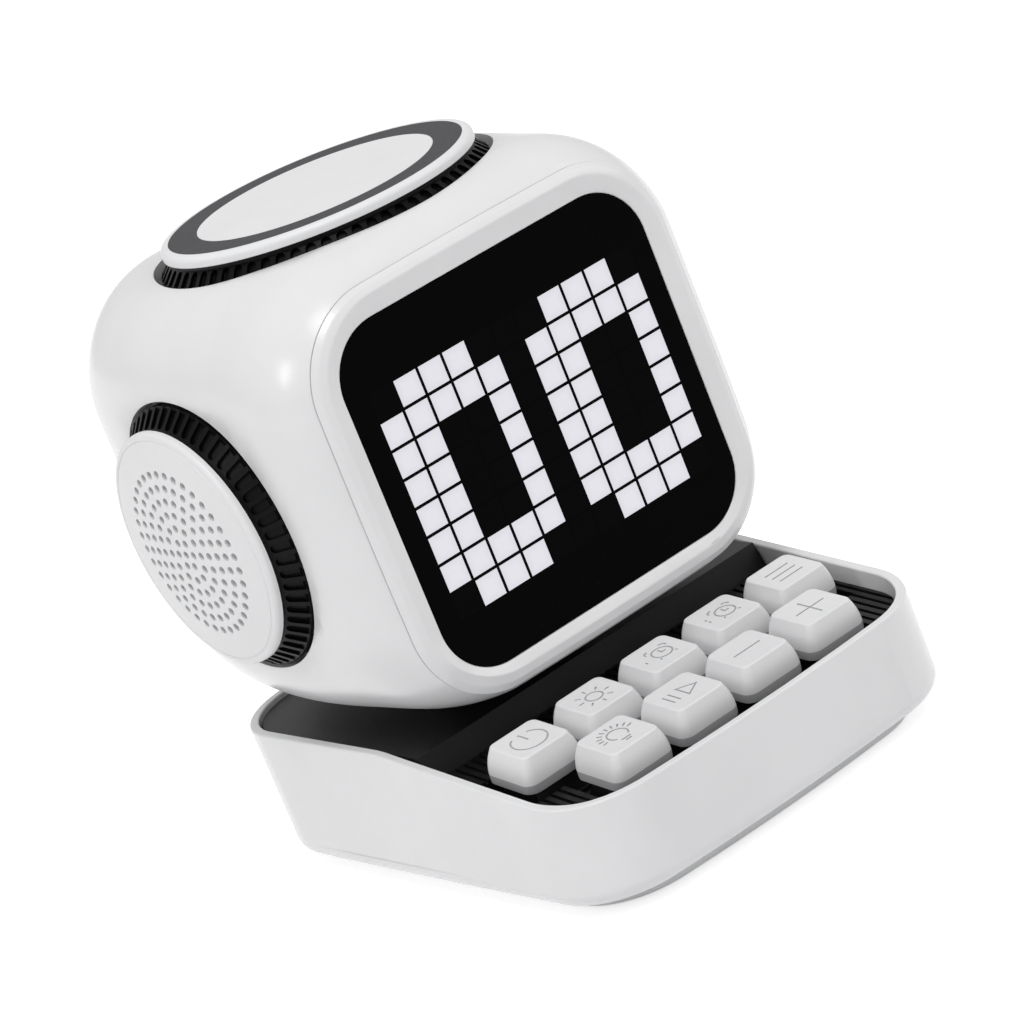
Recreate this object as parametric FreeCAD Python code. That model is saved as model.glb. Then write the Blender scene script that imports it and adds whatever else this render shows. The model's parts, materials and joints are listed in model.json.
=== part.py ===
import FreeCAD, Part
import math
import os

os.makedirs("parts", exist_ok=True)

# A desk clock that speaks: a round-edged cube head with a pixel screen, a speaker
# on each side and a charging puck on top, on a low tray that carries nine keys.
# Millimetres. X is to the right, Y to the back and Z up, with the feet at Z 0.

# Head, seen from the front: its mouth, where the bezel sits, its widest section
# and its flat back
mouth_y = -27.8
mouth_half_width = 49.6
mouth_half_height = 47.7
head_clear = 3.1
belly_depth = 51.6
belly_swell_x = 6.6
belly_swell_z = 4.9
belly_rise = 1.2
belly_corner = 21.7
back_depth = 50.1
back_draw_x = 12.0
back_draw_z = 3.5
back_corner = 31.9
cover_depth = 7.4
head_bow = 0.7
front_place_shares = (0, 0.06, 0.2, 0.5, 1)
front_growth_shares = (0, 0.45, 0.9, 0.98, 1)
front_corner_shares = (0.97, 1.2, 1.28, 1.12, 1)
back_turn_shares = (0.25, 0.47, 0.67, 0.84, 1)
back_roundness = 2.13
back_corner_roundness = 1.74
shell_wall = 2.5
cavity_wall_x = 3.9
cavity_wall_z = 4.0
cavity_corner = 26.0
cavity_lip = 9.0
seam_lip = 2.0
fit_gap = 0.2

# Bezel and screen
crest_reach = 2.5
crest_inset_x = 2.9
crest_inset_low = 3.8
crest_inset_high = 2.2
crest_corner = 19.1
brow_reach = 1.7
bezel_brow_share = 0.42
bezel_tongue = 4.0
screen_depth = 1.2
screen_border_x = 4.0
screen_border_low = 2.5
screen_border_high = 5.1
screen_corner = 13.5
screen_bow = 0.05
lens_thick = 1.6
lens_ledge = 1.5
ledge_thick = 1.6
diffuser_thick = 0.5
pixel_pitch = 6.782
pixel_side = 6.2
pixel_columns = 11
pixel_rows = 8
pixel_drop = 0.56
grid_border = 2.4
grid_thick = 5.0
led_board_thick = 1.6

# Speakers in the two sides, and the ribbed collar round each
disc_drop = 1.45
speaker_face_cut = 0.1
speaker_pocket_radius = 32.95
speaker_pocket_depth = 6.5
pocket_wall = 2.5
speaker_collar_foot_radius = 31.9
speaker_collar_foot_height = 6.4
speaker_collar_neck_radius = 27.9
speaker_collar_height = 11.3
speaker_collar_bore_radius = 25.6
speaker_ribs = 58
speaker_rib_share = 0.36
groove_depth = 1.3
groove_floor = 1.0
grille_radius = 28.5
grille_edge_height = 1.0
grille_reach = 8.8
grille_crown_radius = 21.0
grille_wall = 1.8
grille_rounding = 0.7
hole_pitch = 3.19
hole_diameter = 1.95
hole_rings = 6
driver_flange_radius = 25.2
driver_flange_thick = 1.6
driver_floor_radius = 22.6
driver_throat_radius = 12.0
driver_depth = 12.0
driver_wall = 1.2
driver_magnet_radius = 15.0
driver_magnet_thick = 8.0
driver_pole_radius = 4.0
cone_rim_radius = 20.5
cone_hub_radius = 7.0
cone_depth = 8.0
cone_wall = 0.8
roll_radius = 1.4

# Charging puck on top
puck_face_cut = 0.1
puck_pocket_radius = 40.7
puck_pocket_depth = 6.0
puck_collar_foot_radius = 39.4
puck_collar_foot_height = 4.0
puck_collar_neck_radius = 36.4
puck_collar_height = 8.1
puck_collar_bore_radius = 30.0
puck_ribs = 66
puck_rib_share = 0.36
puck_radius = 37.3
puck_reach = 4.5
puck_rounding = 1.3
puck_ring_outer_radius = 35.16
puck_ring_inner_radius = 28.2
puck_inlay_thick = 1.2
coil_outer_radius = 22.0
coil_inner_radius = 10.0
coil_thick = 1.4
ferrite_radius = 25.0
ferrite_thick = 1.0
wire_hole_radius = 6.0

# Inner parts of the head
battery_radius = 9.2
battery_length = 65.0
battery_wrap = 0.4
battery_y = 33.0
board_half_width = 29.0
board_floor_gap = 8.9
board_top_gap = 26.2
board_thick = 1.6
board_post_length = 5.0
board_post_radius = 3.0
board_post_inset = 4.5
socket_width = 8.94
socket_height = 3.26
socket_depth = 7.6
socket_wall = 0.35
socket_rise = 6.0
socket_gap = 0.25
socket_tongue_thick = 0.7
socket_tongue_width = 6.6
chip_side = 10.0
chip_thick = 1.4

# Tray: plan outline at its body's bottom and at its rim, and the rim's side line
tray_bottom_z = 3.7
tray_bottom_half_width = 54.2
tray_bottom_front_y = -72.3
tray_bottom_back_y = 67.1
tray_bottom_corner = 20.0
tray_rim_half_width = 53.4
tray_rim_front_y = -74.0
tray_rim_back_y = 70.0
tray_rim_corner = 21.0
tray_front_bow = 3.0
tray_side_bow = 0.4
tray_rounding = 4.1
tray_wall = 2.3
tray_floor = 2.4
rim_front_z = 27.4
rim_back_z = 36.0
rim_rise_start_y = -65.0
rim_rise_end_y = 1.5
rim_bend_radius = 60.0
plate_half_width = 47.4
plate_front_y = -66.3
plate_back_y = 61.0
plate_corner = 17.8
plate_z = 1.0
plate_rounding = 1.2
foot_radius = 6.0
foot_recess = 0.6
foot_x = 34.0
foot_front_y = -50.0
foot_back_y = 46.0

# Dark liner under the head, and the neck that carries the head
liner_gap = 0.5
liner_drop = 1.1
liner_front_y = -12.0
liner_front_run = 2.7
liner_front_drop = 8.5
liner_wall = 2.4
post_half_side = 3.5
post_x = 46.5
post_front_y = -53.0
post_back_y = -19.4
floor_opening_inset = 7.0
neck_radius = 15.0
neck_bore_radius = 11.0
neck_screw_circle = 17.0
neck_screws_count = 3
neck_screw_length = 6.0
neck_shoulder_radius = 19.0
neck_seat_depth = 0.8
neck_nut_radius = 20.0
neck_nut_thick = 4.0

# Keys. They stand on a deck that rises to the back, and every key size is in the
# deck's own directions: across, along the slope and square to it
deck_tilt = 7.3
deck_setback = 27.95
deck_drop = 3.5
deck_thick = 1.6
deck_gap = 0.4
deck_rib_pitch = 2.2
deck_rib_width = 1.3
deck_rib_height = 0.8
key_pitch = 19.05
back_row_keys = 5
front_row_keys = 4
cap_base = 18.0
cap_base_corner = 2.6
cap_skirt = 1.8
cap_top_width = 12.9
cap_top_length = 13.2
cap_top_corner = 2.6
cap_top_shift = -0.4
cap_height = 8.2
cap_lift = 2.3
cap_rounding = 0.7
cap_round_shares = (0, 1)
cap_wall = 1.5
cap_roof = 1.6
well_gap = 0.9
key_travel = 4.0
switch_plate_drop = 4.0
switch_plate_thick = 1.5
switch_body = 13.9
switch_flange = 15.6
switch_flange_thick = 1.0
switch_top = 10.6
switch_top_height = 5.2
switch_below = 5.0
slider_width = 6.6
slider_length = 5.2
slider_above = 0.6
slider_gap = 0.3
switch_floor = 0.8
cross_length = 4.0
cross_width = 1.2
socket_boss_radius = 2.8
boss_clear = 0.5
key_board_thick = 1.6

# Screws
screw_radius = 1.3
screw_head_radius = 2.5
screw_head_height = 1.5
overrun = 5.0

back_row_names = ("power", "brightness", "alarm_one", "alarm_two", "menu")
front_row_names = ("light", "play", "minus", "plus")

# Places that follow: the head stands on the tray, and its bezel, screen, speakers, puck
# and boards are set from its own sections
head_bottom_z = rim_back_z + head_clear
belly_half_width = mouth_half_width + belly_swell_x
belly_half_height = mouth_half_height + belly_swell_z
belly_centre_z = head_bottom_z + belly_half_height
mouth_centre_z = belly_centre_z - belly_rise
mouth_low_z = mouth_centre_z - mouth_half_height
mouth_high_z = mouth_centre_z + mouth_half_height
back_half_width = belly_half_width - back_draw_x
back_half_height = belly_half_height - back_draw_z
belly_y = mouth_y + belly_depth
back_y = belly_y + back_depth
back_seam_y = back_y - cover_depth
cavity_half_width = belly_half_width - cavity_wall_x
cavity_half_height = belly_half_height - cavity_wall_z
crest_y = mouth_y - crest_reach
bezel_brow_y = mouth_y - brow_reach
crest_half_width = mouth_half_width - crest_inset_x
crest_low_z = mouth_low_z + crest_inset_low
crest_high_z = mouth_high_z - crest_inset_high
screen_y = crest_y + screen_depth
screen_half_width = crest_half_width - screen_border_x
screen_low_z = crest_low_z + screen_border_low
screen_high_z = crest_high_z - screen_border_high
pixel_centre_z = (screen_low_z + screen_high_z) / 2 - pixel_drop
disc_axis_z = belly_centre_z - disc_drop
speaker_plane_x = belly_half_width - speaker_face_cut
speaker_floor_x = speaker_plane_x - speaker_pocket_depth
puck_plane_z = belly_centre_z + belly_half_height - puck_face_cut
puck_floor_z = puck_plane_z - puck_pocket_depth
puck_top_z = puck_plane_z + puck_reach
board_low_z = belly_centre_z - cavity_half_height + board_floor_gap
board_high_z = puck_plane_z - board_top_gap
socket_z = board_low_z + socket_rise
neck_seat_z = head_bottom_z + neck_seat_depth
neck_top_z = neck_seat_z + shell_wall * 2
liner_top_z = rim_back_z - liner_drop
deck_origin_y = tray_rim_front_y + deck_setback
deck_origin_z = rim_front_z - deck_drop


def v(x, y, z):
    return FreeCAD.Vector(x, y, z)


def save(name, shape):
    """Write one sub-part as its own STEP file."""
    shape.exportStep("parts/" + name + ".step")


def upright(y):
    """Places outline points in the plane that faces the front at y."""
    return lambda a, b: v(a, y, b)


def level(z):
    """Places outline points in the level plane at z."""
    return lambda a, b: v(a, b, z)


def unit(x, y):
    size = math.hypot(x, y)
    return x / size, y / size


def bowed_outline(place, half_width, low, high, corner, side_bow, low_bow, high_bow):
    """A rounded rectangle of eight arcs, whose four sides all bow outwards."""
    middle = (low + high) / 2
    half_height = (high - low) / 2
    side_radius = (half_height ** 2 + side_bow ** 2) / (2 * side_bow)
    side_x = half_width - side_radius
    arcs = []
    for edge, bow, way in ((high, high_bow, 1), (low, low_bow, -1)):
        end_radius = (half_width ** 2 + bow ** 2) / (2 * bow)
        end_y = edge - way * end_radius
        reach_end = end_radius - corner
        reach_side = side_radius - corner
        step_x = side_x
        step_y = middle - end_y
        apart = math.hypot(step_x, step_y)
        along = (reach_end ** 2 - reach_side ** 2 + apart ** 2) / (2 * apart)
        across = math.sqrt(reach_end ** 2 - along ** 2)
        centre_x = (step_x * along + way * step_y * across) / apart
        centre_y = end_y + (step_y * along - way * step_x * across) / apart
        end_way = unit(centre_x, centre_y - end_y)
        side_way = unit(centre_x - side_x, centre_y - middle)
        mid_way = unit(end_way[0] + side_way[0], end_way[1] + side_way[1])
        on_end = (centre_x + corner * end_way[0], centre_y + corner * end_way[1])
        on_side = (centre_x + corner * side_way[0], centre_y + corner * side_way[1])
        on_mid = (centre_x + corner * mid_way[0], centre_y + corner * mid_way[1])
        arcs.append((edge, on_end, on_mid, on_side))
    (top, top_end, top_mid, top_side), (foot, foot_end, foot_mid, foot_side) = arcs
    run = [
        ((-top_end[0], top_end[1]), (0, top), top_end),
        (top_end, top_mid, top_side),
        (top_side, (half_width, middle), foot_side),
        (foot_side, foot_mid, foot_end),
        (foot_end, (0, foot), (-foot_end[0], foot_end[1])),
        ((-foot_end[0], foot_end[1]), (-foot_mid[0], foot_mid[1]), (-foot_side[0], foot_side[1])),
        ((-foot_side[0], foot_side[1]), (-half_width, middle), (-top_side[0], top_side[1])),
        ((-top_side[0], top_side[1]), (-top_mid[0], top_mid[1]), (-top_end[0], top_end[1])),
    ]
    edges = [Part.Arc(place(*start), place(*mid), place(*end)).toShape() for start, mid, end in run]
    return Part.Wire(edges)


def even_outline(place, half_width, low, high, corner, bow):
    return bowed_outline(place, half_width, low, high, corner, bow, bow, bow)


def rounded_rectangle(place, half_width, low, high, corner):
    """A rectangle with straight sides and round corners."""
    across = half_width - corner
    over = high - corner
    under = low + corner
    nook = corner / math.sqrt(2)
    run = []
    for x, y, to_x, to_y in ((across, over, 1, 1), (across, under, 1, -1),
                             (-across, under, -1, -1), (-across, over, -1, 1)):
        on_side = (x + corner * to_x, y)
        on_end = (x, y + corner * to_y)
        first, last = (on_end, on_side) if to_x == to_y else (on_side, on_end)
        run.append((first, (x + nook * to_x, y + nook * to_y), last))
    edges = []
    for index, (first, middle, last) in enumerate(run):
        edges.append(Part.Arc(place(*first), place(*middle), place(*last)).toShape())
        edges.append(Part.makeLine(place(*last), place(*run[(index + 1) % len(run)][0])))
    return Part.Wire(edges)


def prism(wire, direction):
    return Part.Face(wire).extrude(direction)


def ruled(wires):
    return Part.makeLoft(wires, True, True)


def block(x_low, x_high, y_low, y_high, z_low, z_high):
    return Part.makeBox(x_high - x_low, y_high - y_low, z_high - z_low, v(x_low, y_low, z_low))


def turned(profile, start, axis):
    """Revolves a closed line of (radius, height) points about an axis from start."""
    points = [v(radius, 0, height) for radius, height in profile]
    face = Part.Face(Part.makePolygon(points + [points[0]]))
    solid = face.revolve(v(0, 0, 0), v(0, 0, 1), 360)
    return stood(solid, start, axis)


def stood(shape, start, axis):
    """Stands a shape made about Z on another axis."""
    copy = shape.copy()
    turn = FreeCAD.Rotation(v(0, 0, 1), axis)
    copy.Placement = FreeCAD.Placement(start, turn).multiply(copy.Placement)
    return copy


def rod(radius, start, axis, length):
    return Part.makeCylinder(radius, length, start, axis)


# Head shell, moulded in one piece: outside, a smooth loft from the mouth over the
# widest section to the back; inside, a stepped cavity
mouth_corner = belly_corner * front_corner_shares[0]


def head_outside():
    wires = []
    steps = zip(front_place_shares, front_growth_shares, front_corner_shares)
    for place, growth, corner in steps:
        centre = mouth_centre_z + (belly_centre_z - mouth_centre_z) * growth
        half_height = mouth_half_height + (belly_half_height - mouth_half_height) * growth
        wires.append(even_outline(
            upright(mouth_y + (belly_y - mouth_y) * place),
            mouth_half_width + (belly_half_width - mouth_half_width) * growth,
            centre - half_height, centre + half_height, belly_corner * corner, head_bow))
    for turn in back_turn_shares:
        run = math.sin(math.pi / 2 * turn)
        growth = (1 - run ** back_roundness) ** (1 / back_roundness)
        corner_growth = (1 - run ** back_corner_roundness) ** (1 / back_corner_roundness)
        half_height = back_half_height + (belly_half_height - back_half_height) * growth
        wires.append(even_outline(
            upright(belly_y + (back_y - belly_y) * run),
            back_half_width + (belly_half_width - back_half_width) * growth,
            belly_centre_z - half_height, belly_centre_z + half_height,
            back_corner + (belly_corner - back_corner) * corner_growth, head_bow))
    return Part.makeLoft(wires, True, False)


def inner_mouth(y, gap):
    """The cavity's outline at the mouth, drawn in by gap."""
    inset = shell_wall + gap
    return even_outline(upright(y), mouth_half_width - inset, mouth_low_z + inset, mouth_high_z - inset,
                        mouth_corner - inset, head_bow)


def head_cavity():
    lip_end = mouth_y + cavity_lip
    back_start = back_seam_y - cavity_lip
    narrow = prism(inner_mouth(mouth_y - overrun, 0), v(0, back_seam_y - mouth_y + overrun, 0))
    wide = prism(even_outline(
        upright(lip_end), cavity_half_width, belly_centre_z - cavity_half_height,
        belly_centre_z + cavity_half_height, cavity_corner, head_bow), v(0, back_start - lip_end, 0))
    return narrow.fuse(wide)


puck_centre = v(0, belly_y, puck_floor_z)
neck_centre = v(0, belly_y, 0)
up = v(0, 0, 1)


def speaker_start(side):
    return v(side * speaker_floor_x, belly_y, disc_axis_z)


def pockets():
    """The round walls, and the rooms cut in them, for the puck and both speakers."""
    walls = [rod(puck_pocket_radius + pocket_wall, puck_centre - up * pocket_wall, up,
                 puck_pocket_depth + pocket_wall)]
    rooms = [rod(puck_pocket_radius, puck_centre, up, puck_pocket_depth + overrun),
             rod(wire_hole_radius, puck_centre - up * overrun, up, puck_pocket_depth + overrun)]
    for side in (-1, 1):
        out = v(side, 0, 0)
        start = speaker_start(side)
        walls.append(rod(speaker_pocket_radius + pocket_wall, start - out * pocket_wall, out,
                         speaker_pocket_depth + pocket_wall))
        rooms.append(rod(speaker_pocket_radius, start, out, speaker_pocket_depth + overrun))
        rooms.append(rod(driver_floor_radius, start - out * overrun, out, speaker_pocket_depth + overrun))
    return walls, rooms


outside = head_outside()
front_part = block(-belly_half_width - overrun, belly_half_width + overrun, mouth_y - overrun, back_seam_y,
                   head_bottom_z - overrun, belly_centre_z + belly_half_height + overrun)
walls, rooms = pockets()
shell_front = outside.common(front_part)
hollow = shell_front.cut(head_cavity())
inner_walls = shell_front.common(walls)
neck_room = rod(neck_shoulder_radius + fit_gap, neck_centre + up * (head_bottom_z - overrun), up,
                overrun + neck_seat_depth)
neck_hole = rod(neck_radius + fit_gap, neck_centre + up * head_bottom_z, up, overrun + shell_wall * 2)
neck_pad = rod(neck_nut_radius + shell_wall, neck_centre + up * head_bottom_z, up,
               neck_seat_depth + shell_wall * 2)
head_shell = hollow.fuse([inner_walls, neck_pad.common(shell_front)])
head_shell = head_shell.cut(rooms + [neck_room, neck_hole])
save("head_shell", head_shell.removeSplitter())


# Back cover: the closed back of the cube, held by a lip pressed inside the shell, with
# four posts for the main board and a slot for the charging socket
cover_inner_y = back_y - shell_wall
board_y = cover_inner_y - board_post_length - board_thick
socket_start_y = board_y + board_thick
board_sites = [(x, z)
               for x in (-board_half_width + board_post_inset, board_half_width - board_post_inset)
               for z in (board_low_z + board_post_inset, board_high_z - board_post_inset)]


def stadium(y, width, height, centre_z):
    """A flat-sided oval outline, as of the charging socket, in the plane at y."""
    radius = height / 2
    side = width / 2 - radius
    low = centre_z - radius
    high = centre_z + radius
    edges = [
        Part.makeLine(v(-side, y, high), v(side, y, high)),
        Part.Arc(v(side, y, high), v(side + radius, y, centre_z), v(side, y, low)).toShape(),
        Part.makeLine(v(side, y, low), v(-side, y, low)),
        Part.Arc(v(-side, y, low), v(-side - radius, y, centre_z), v(-side, y, high)).toShape(),
    ]
    return Part.Wire(edges)


forward = v(0, -1, 0)
back_part = block(-belly_half_width - overrun, belly_half_width + overrun, back_seam_y, back_y + overrun,
                  head_bottom_z - overrun, belly_centre_z + belly_half_height + overrun)
back = outside.common(back_part)
back_room = prism(inner_mouth(back_seam_y - overrun, 0), v(0, cover_inner_y - back_seam_y + overrun, 0))
lip_outer = prism(inner_mouth(back_seam_y - seam_lip, fit_gap), v(0, seam_lip + shell_wall, 0))
lip_inner = prism(inner_mouth(back_seam_y - seam_lip - overrun, shell_wall),
                  v(0, seam_lip + shell_wall + 2 * overrun, 0))
lip_bridge = prism(inner_mouth(back_seam_y, -fit_gap), v(0, shell_wall, 0))
posts = [rod(board_post_radius, v(x, cover_inner_y, z), forward, board_post_length) for x, z in board_sites]
post_holes = [rod(screw_radius, v(x, cover_inner_y, z), forward, board_post_length) for x, z in board_sites]
socket_slot = prism(stadium(cover_inner_y - overrun, socket_width + 2 * socket_gap,
                            socket_height + 2 * socket_gap, socket_z), v(0, shell_wall + 2 * overrun, 0))
rear_cover = back.cut(back_room).fuse([lip_outer.cut(lip_inner), lip_bridge.cut(lip_inner)] + posts)
rear_cover = rear_cover.cut(post_holes + [socket_slot])
save("rear_cover", rear_cover.removeSplitter())


# Main board on the posts, its chips, its screws and the charging socket
board = block(-board_half_width, board_half_width, board_y, board_y + board_thick, board_low_z, board_high_z)
board_holes = [rod(screw_radius, v(x, board_y - overrun, z), v(0, 1, 0), board_thick + 2 * overrun)
               for x, z in board_sites]
chips = [block(-chip_side / 2 + shift, chip_side / 2 + shift, board_y - chip_thick, board_y,
               (board_low_z + board_high_z - chip_side) / 2, (board_low_z + board_high_z + chip_side) / 2)
         for shift in (-chip_side, chip_side)]
save("main_board", board.cut(board_holes).fuse(chips))


def screw(start, axis, length):
    """A pan-head screw: its head stands on start, its shank runs along the axis."""
    shank = rod(screw_radius, start, axis, length)
    head = rod(screw_head_radius, start - axis * screw_head_height, axis, screw_head_height)
    return shank.fuse(head)


board_screws = [screw(v(x, board_y, z), v(0, 1, 0), board_thick + board_post_length) for x, z in board_sites]
save("board_screws", Part.makeCompound(board_screws))
socket_tube = prism(stadium(socket_start_y, socket_width, socket_height, socket_z), v(0, socket_depth, 0))
socket_room = prism(stadium(socket_start_y + socket_wall, socket_width - 2 * socket_wall,
                            socket_height - 2 * socket_wall, socket_z), v(0, socket_depth, 0))
socket_blade = block(-socket_tongue_width / 2, socket_tongue_width / 2, socket_start_y,
                     socket_start_y + socket_depth - 2 * socket_wall,
                     socket_z - socket_tongue_thick / 2, socket_z + socket_tongue_thick / 2)
save("usb_socket", socket_tube.cut(socket_room).fuse(socket_blade))


# Bezel: a ring whose outside carries on the shell's curve to a crest and whose inner
# slope runs down to the screen; a ledge behind it holds the lens
def screen_outline(y, grow):
    return even_outline(upright(y), screen_half_width + grow, screen_low_z - grow, screen_high_z + grow,
                        screen_corner + grow, screen_bow)


def crest_outline(y):
    return even_outline(upright(y), crest_half_width, crest_low_z, crest_high_z, crest_corner, head_bow)


def brow_outline():
    """The bezel's outline between its edge at the shell and its crest."""
    def part_way(edge, crest):
        return edge + (crest - edge) * bezel_brow_share
    return even_outline(
        upright(bezel_brow_y), part_way(mouth_half_width, crest_half_width),
        part_way(mouth_low_z, crest_low_z), part_way(mouth_high_z, crest_high_z),
        part_way(mouth_corner, crest_corner), head_bow)


lens_back_y = screen_y + lens_thick
ledge_back_y = lens_back_y + ledge_thick
tongue_end_y = mouth_y + bezel_tongue
mouth_edge = even_outline(upright(mouth_y), mouth_half_width, mouth_low_z, mouth_high_z, mouth_corner,
                          head_bow)
bezel_front = ruled([mouth_edge, brow_outline(), crest_outline(crest_y)])
bezel_tongue_ring = prism(inner_mouth(mouth_y, fit_gap), v(0, bezel_tongue, 0))
bezel_slope = ruled([crest_outline(crest_y), screen_outline(screen_y, 0)])
lens_room = prism(screen_outline(screen_y, 0), v(0, lens_thick, 0))
view_room = prism(screen_outline(lens_back_y, -lens_ledge), v(0, ledge_thick, 0))
board_room = prism(screen_outline(ledge_back_y, grid_border), v(0, tongue_end_y + overrun - ledge_back_y, 0))
front_bezel = bezel_front.fuse(bezel_tongue_ring).cut([bezel_slope, lens_room, view_room, board_room])
save("front_bezel", front_bezel.removeSplitter())


# Screen: smoked lens, diffuser, the light grid with one square cell for each pixel,
# and the board with the lamps
lens = prism(screen_outline(screen_y, -fit_gap / 2), v(0, lens_thick, 0))
save("screen_lens", lens)
diffuser_half_width = pixel_pitch * pixel_columns / 2 + pixel_pitch - pixel_side
diffuser_half_height = pixel_pitch * pixel_rows / 2 + pixel_pitch - pixel_side
diffuser = block(-diffuser_half_width, diffuser_half_width, lens_back_y, lens_back_y + diffuser_thick,
                 pixel_centre_z - diffuser_half_height, pixel_centre_z + diffuser_half_height)
save("diffuser_sheet", diffuser)
grid_y = ledge_back_y
grid_plate = prism(screen_outline(grid_y, grid_border - fit_gap), v(0, grid_thick, 0))
grid_pad = block(-diffuser_half_width, diffuser_half_width, lens_back_y + diffuser_thick, grid_y,
                 pixel_centre_z - diffuser_half_height, pixel_centre_z + diffuser_half_height)
grid_depth = grid_y + grid_thick - lens_back_y - diffuser_thick
grid_front_y = lens_back_y + diffuser_thick
cell_gap = pixel_pitch - pixel_side
cells = []
for column in range(pixel_columns):
    for row in range(pixel_rows):
        left = (column - pixel_columns / 2) * pixel_pitch + cell_gap / 2
        low = pixel_centre_z + (row - pixel_rows / 2) * pixel_pitch + cell_gap / 2
        cells.append(Part.makeBox(pixel_side, grid_depth, pixel_side, v(left, grid_front_y, low)))
light_grid = grid_plate.fuse(grid_pad).cut(Part.makeCompound(cells))
save("light_grid", light_grid)
led_board_y = grid_y + grid_thick
led_board = prism(screen_outline(led_board_y, grid_border - fit_gap), v(0, led_board_thick, 0))
save("led_board", led_board)


# Ribbed collars: a plain foot ring and, on it, a cone of straight ribs that narrows
# outwards
def ribbed_outline(height, radius, ribs, rib_share):
    """A closed line that steps out over each rib and in over each groove."""
    points = []
    step = 2 * math.pi / ribs
    for index in range(ribs):
        for turn, reach in ((-rib_share / 2, radius), (rib_share / 2, radius),
                            (rib_share / 2, radius - groove_depth),
                            (1 - rib_share / 2, radius - groove_depth)):
            angle = step * (index + turn)
            points.append(v(reach * math.sin(angle), reach * math.cos(angle), height))
    return Part.makePolygon(points + [points[0]])


def collar(start, axis, foot_radius, foot_height, neck_radius, height, bore_radius, ribs, rib_share):
    ribbed = ruled([ribbed_outline(foot_height, foot_radius, ribs, rib_share),
                    ribbed_outline(height - groove_floor, neck_radius, ribs, rib_share)])
    foot = rod(foot_radius, v(0, 0, 0), up, foot_height)
    brow = rod(neck_radius, v(0, 0, height - groove_floor), up, groove_floor)
    bore = rod(bore_radius, v(0, 0, 0), up, height)
    return stood(foot.fuse([ribbed, brow]).cut(bore), start, axis)


def side_name(side):
    return "left" if side < 0 else "right"


puck_collar = collar(puck_centre, up, puck_collar_foot_radius, puck_collar_foot_height,
                     puck_collar_neck_radius, puck_collar_height, puck_collar_bore_radius,
                     puck_ribs, puck_rib_share)
save("puck_collar", puck_collar)
for side in (-1, 1):
    save(side_name(side) + "_collar", collar(
        speaker_start(side), v(side, 0, 0), speaker_collar_foot_radius, speaker_collar_foot_height,
        speaker_collar_neck_radius, speaker_collar_height, speaker_collar_bore_radius,
        speaker_ribs, speaker_rib_share))


# Charging puck: a white dish with a dark ring and a white middle let into it, and the
# coil on its ferrite plate stuck under it
puck_bottom_z = puck_floor_z + puck_collar_height
inlay_z = puck_top_z - puck_inlay_thick
puck_thick = puck_top_z - puck_bottom_z
puck_blank = rod(puck_radius, v(0, belly_y, puck_bottom_z), up, puck_thick)
top_edges = [edge for edge in puck_blank.Edges if edge.BoundBox.ZMin > puck_bottom_z + puck_thick / 2]
puck_dish = puck_blank.makeFillet(puck_rounding, top_edges)
inlay_room = rod(puck_ring_outer_radius, v(0, belly_y, inlay_z), up, puck_inlay_thick + overrun)
save("puck_base", puck_dish.cut(inlay_room))
puck_middle = rod(puck_ring_inner_radius, v(0, belly_y, inlay_z), up, puck_inlay_thick)
puck_ring_blank = rod(puck_ring_outer_radius, v(0, belly_y, inlay_z), up, puck_inlay_thick)
save("puck_ring", puck_ring_blank.cut(puck_middle))
save("puck_disc", puck_middle)
coil_z = puck_bottom_z - coil_thick
ferrite_z = coil_z - ferrite_thick
coil = turned([(coil_inner_radius, 0), (coil_outer_radius, 0), (coil_outer_radius, coil_thick),
               (coil_inner_radius, coil_thick)], v(0, belly_y, coil_z), up)
save("charging_coil", coil)
save("ferrite_plate", rod(ferrite_radius, v(0, belly_y, ferrite_z), up, ferrite_thick))


# Speaker grilles: thin raised caps that stand on the collars, with rings of holes in
# the crown, and the loudspeaker behind each
grille_base_x = speaker_floor_x + speaker_collar_height
grille_rise = speaker_plane_x + grille_reach - grille_base_x


def hole_sites():
    sites = [(0, 0)]
    for ring in range(1, hole_rings + 1):
        for index in range(6 * ring):
            angle = 2 * math.pi * index / (6 * ring)
            sites.append((ring * hole_pitch * math.sin(angle), ring * hole_pitch * math.cos(angle)))
    return sites


def grille_solid():
    inner_rise = grille_rise - grille_wall
    body = turned([
        (grille_radius, 0), (grille_radius, grille_edge_height),
        (grille_radius - grille_rounding, grille_edge_height + grille_rounding),
        (grille_crown_radius, grille_rise), (0, grille_rise), (0, inner_rise),
        (grille_crown_radius, inner_rise), (grille_radius - grille_wall, grille_edge_height),
        (grille_radius - grille_wall, 0)], v(0, 0, 0), up)
    cutters = []
    for x, y in hole_sites():
        corners = [v(x + hole_diameter / 2 * math.cos(math.pi * side / 3),
                     y + hole_diameter / 2 * math.sin(math.pi * side / 3), 0) for side in range(7)]
        cutters.append(prism(Part.makePolygon(corners), up * (grille_rise + overrun)))
    return body.cut(Part.makeCompound(cutters))


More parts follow.
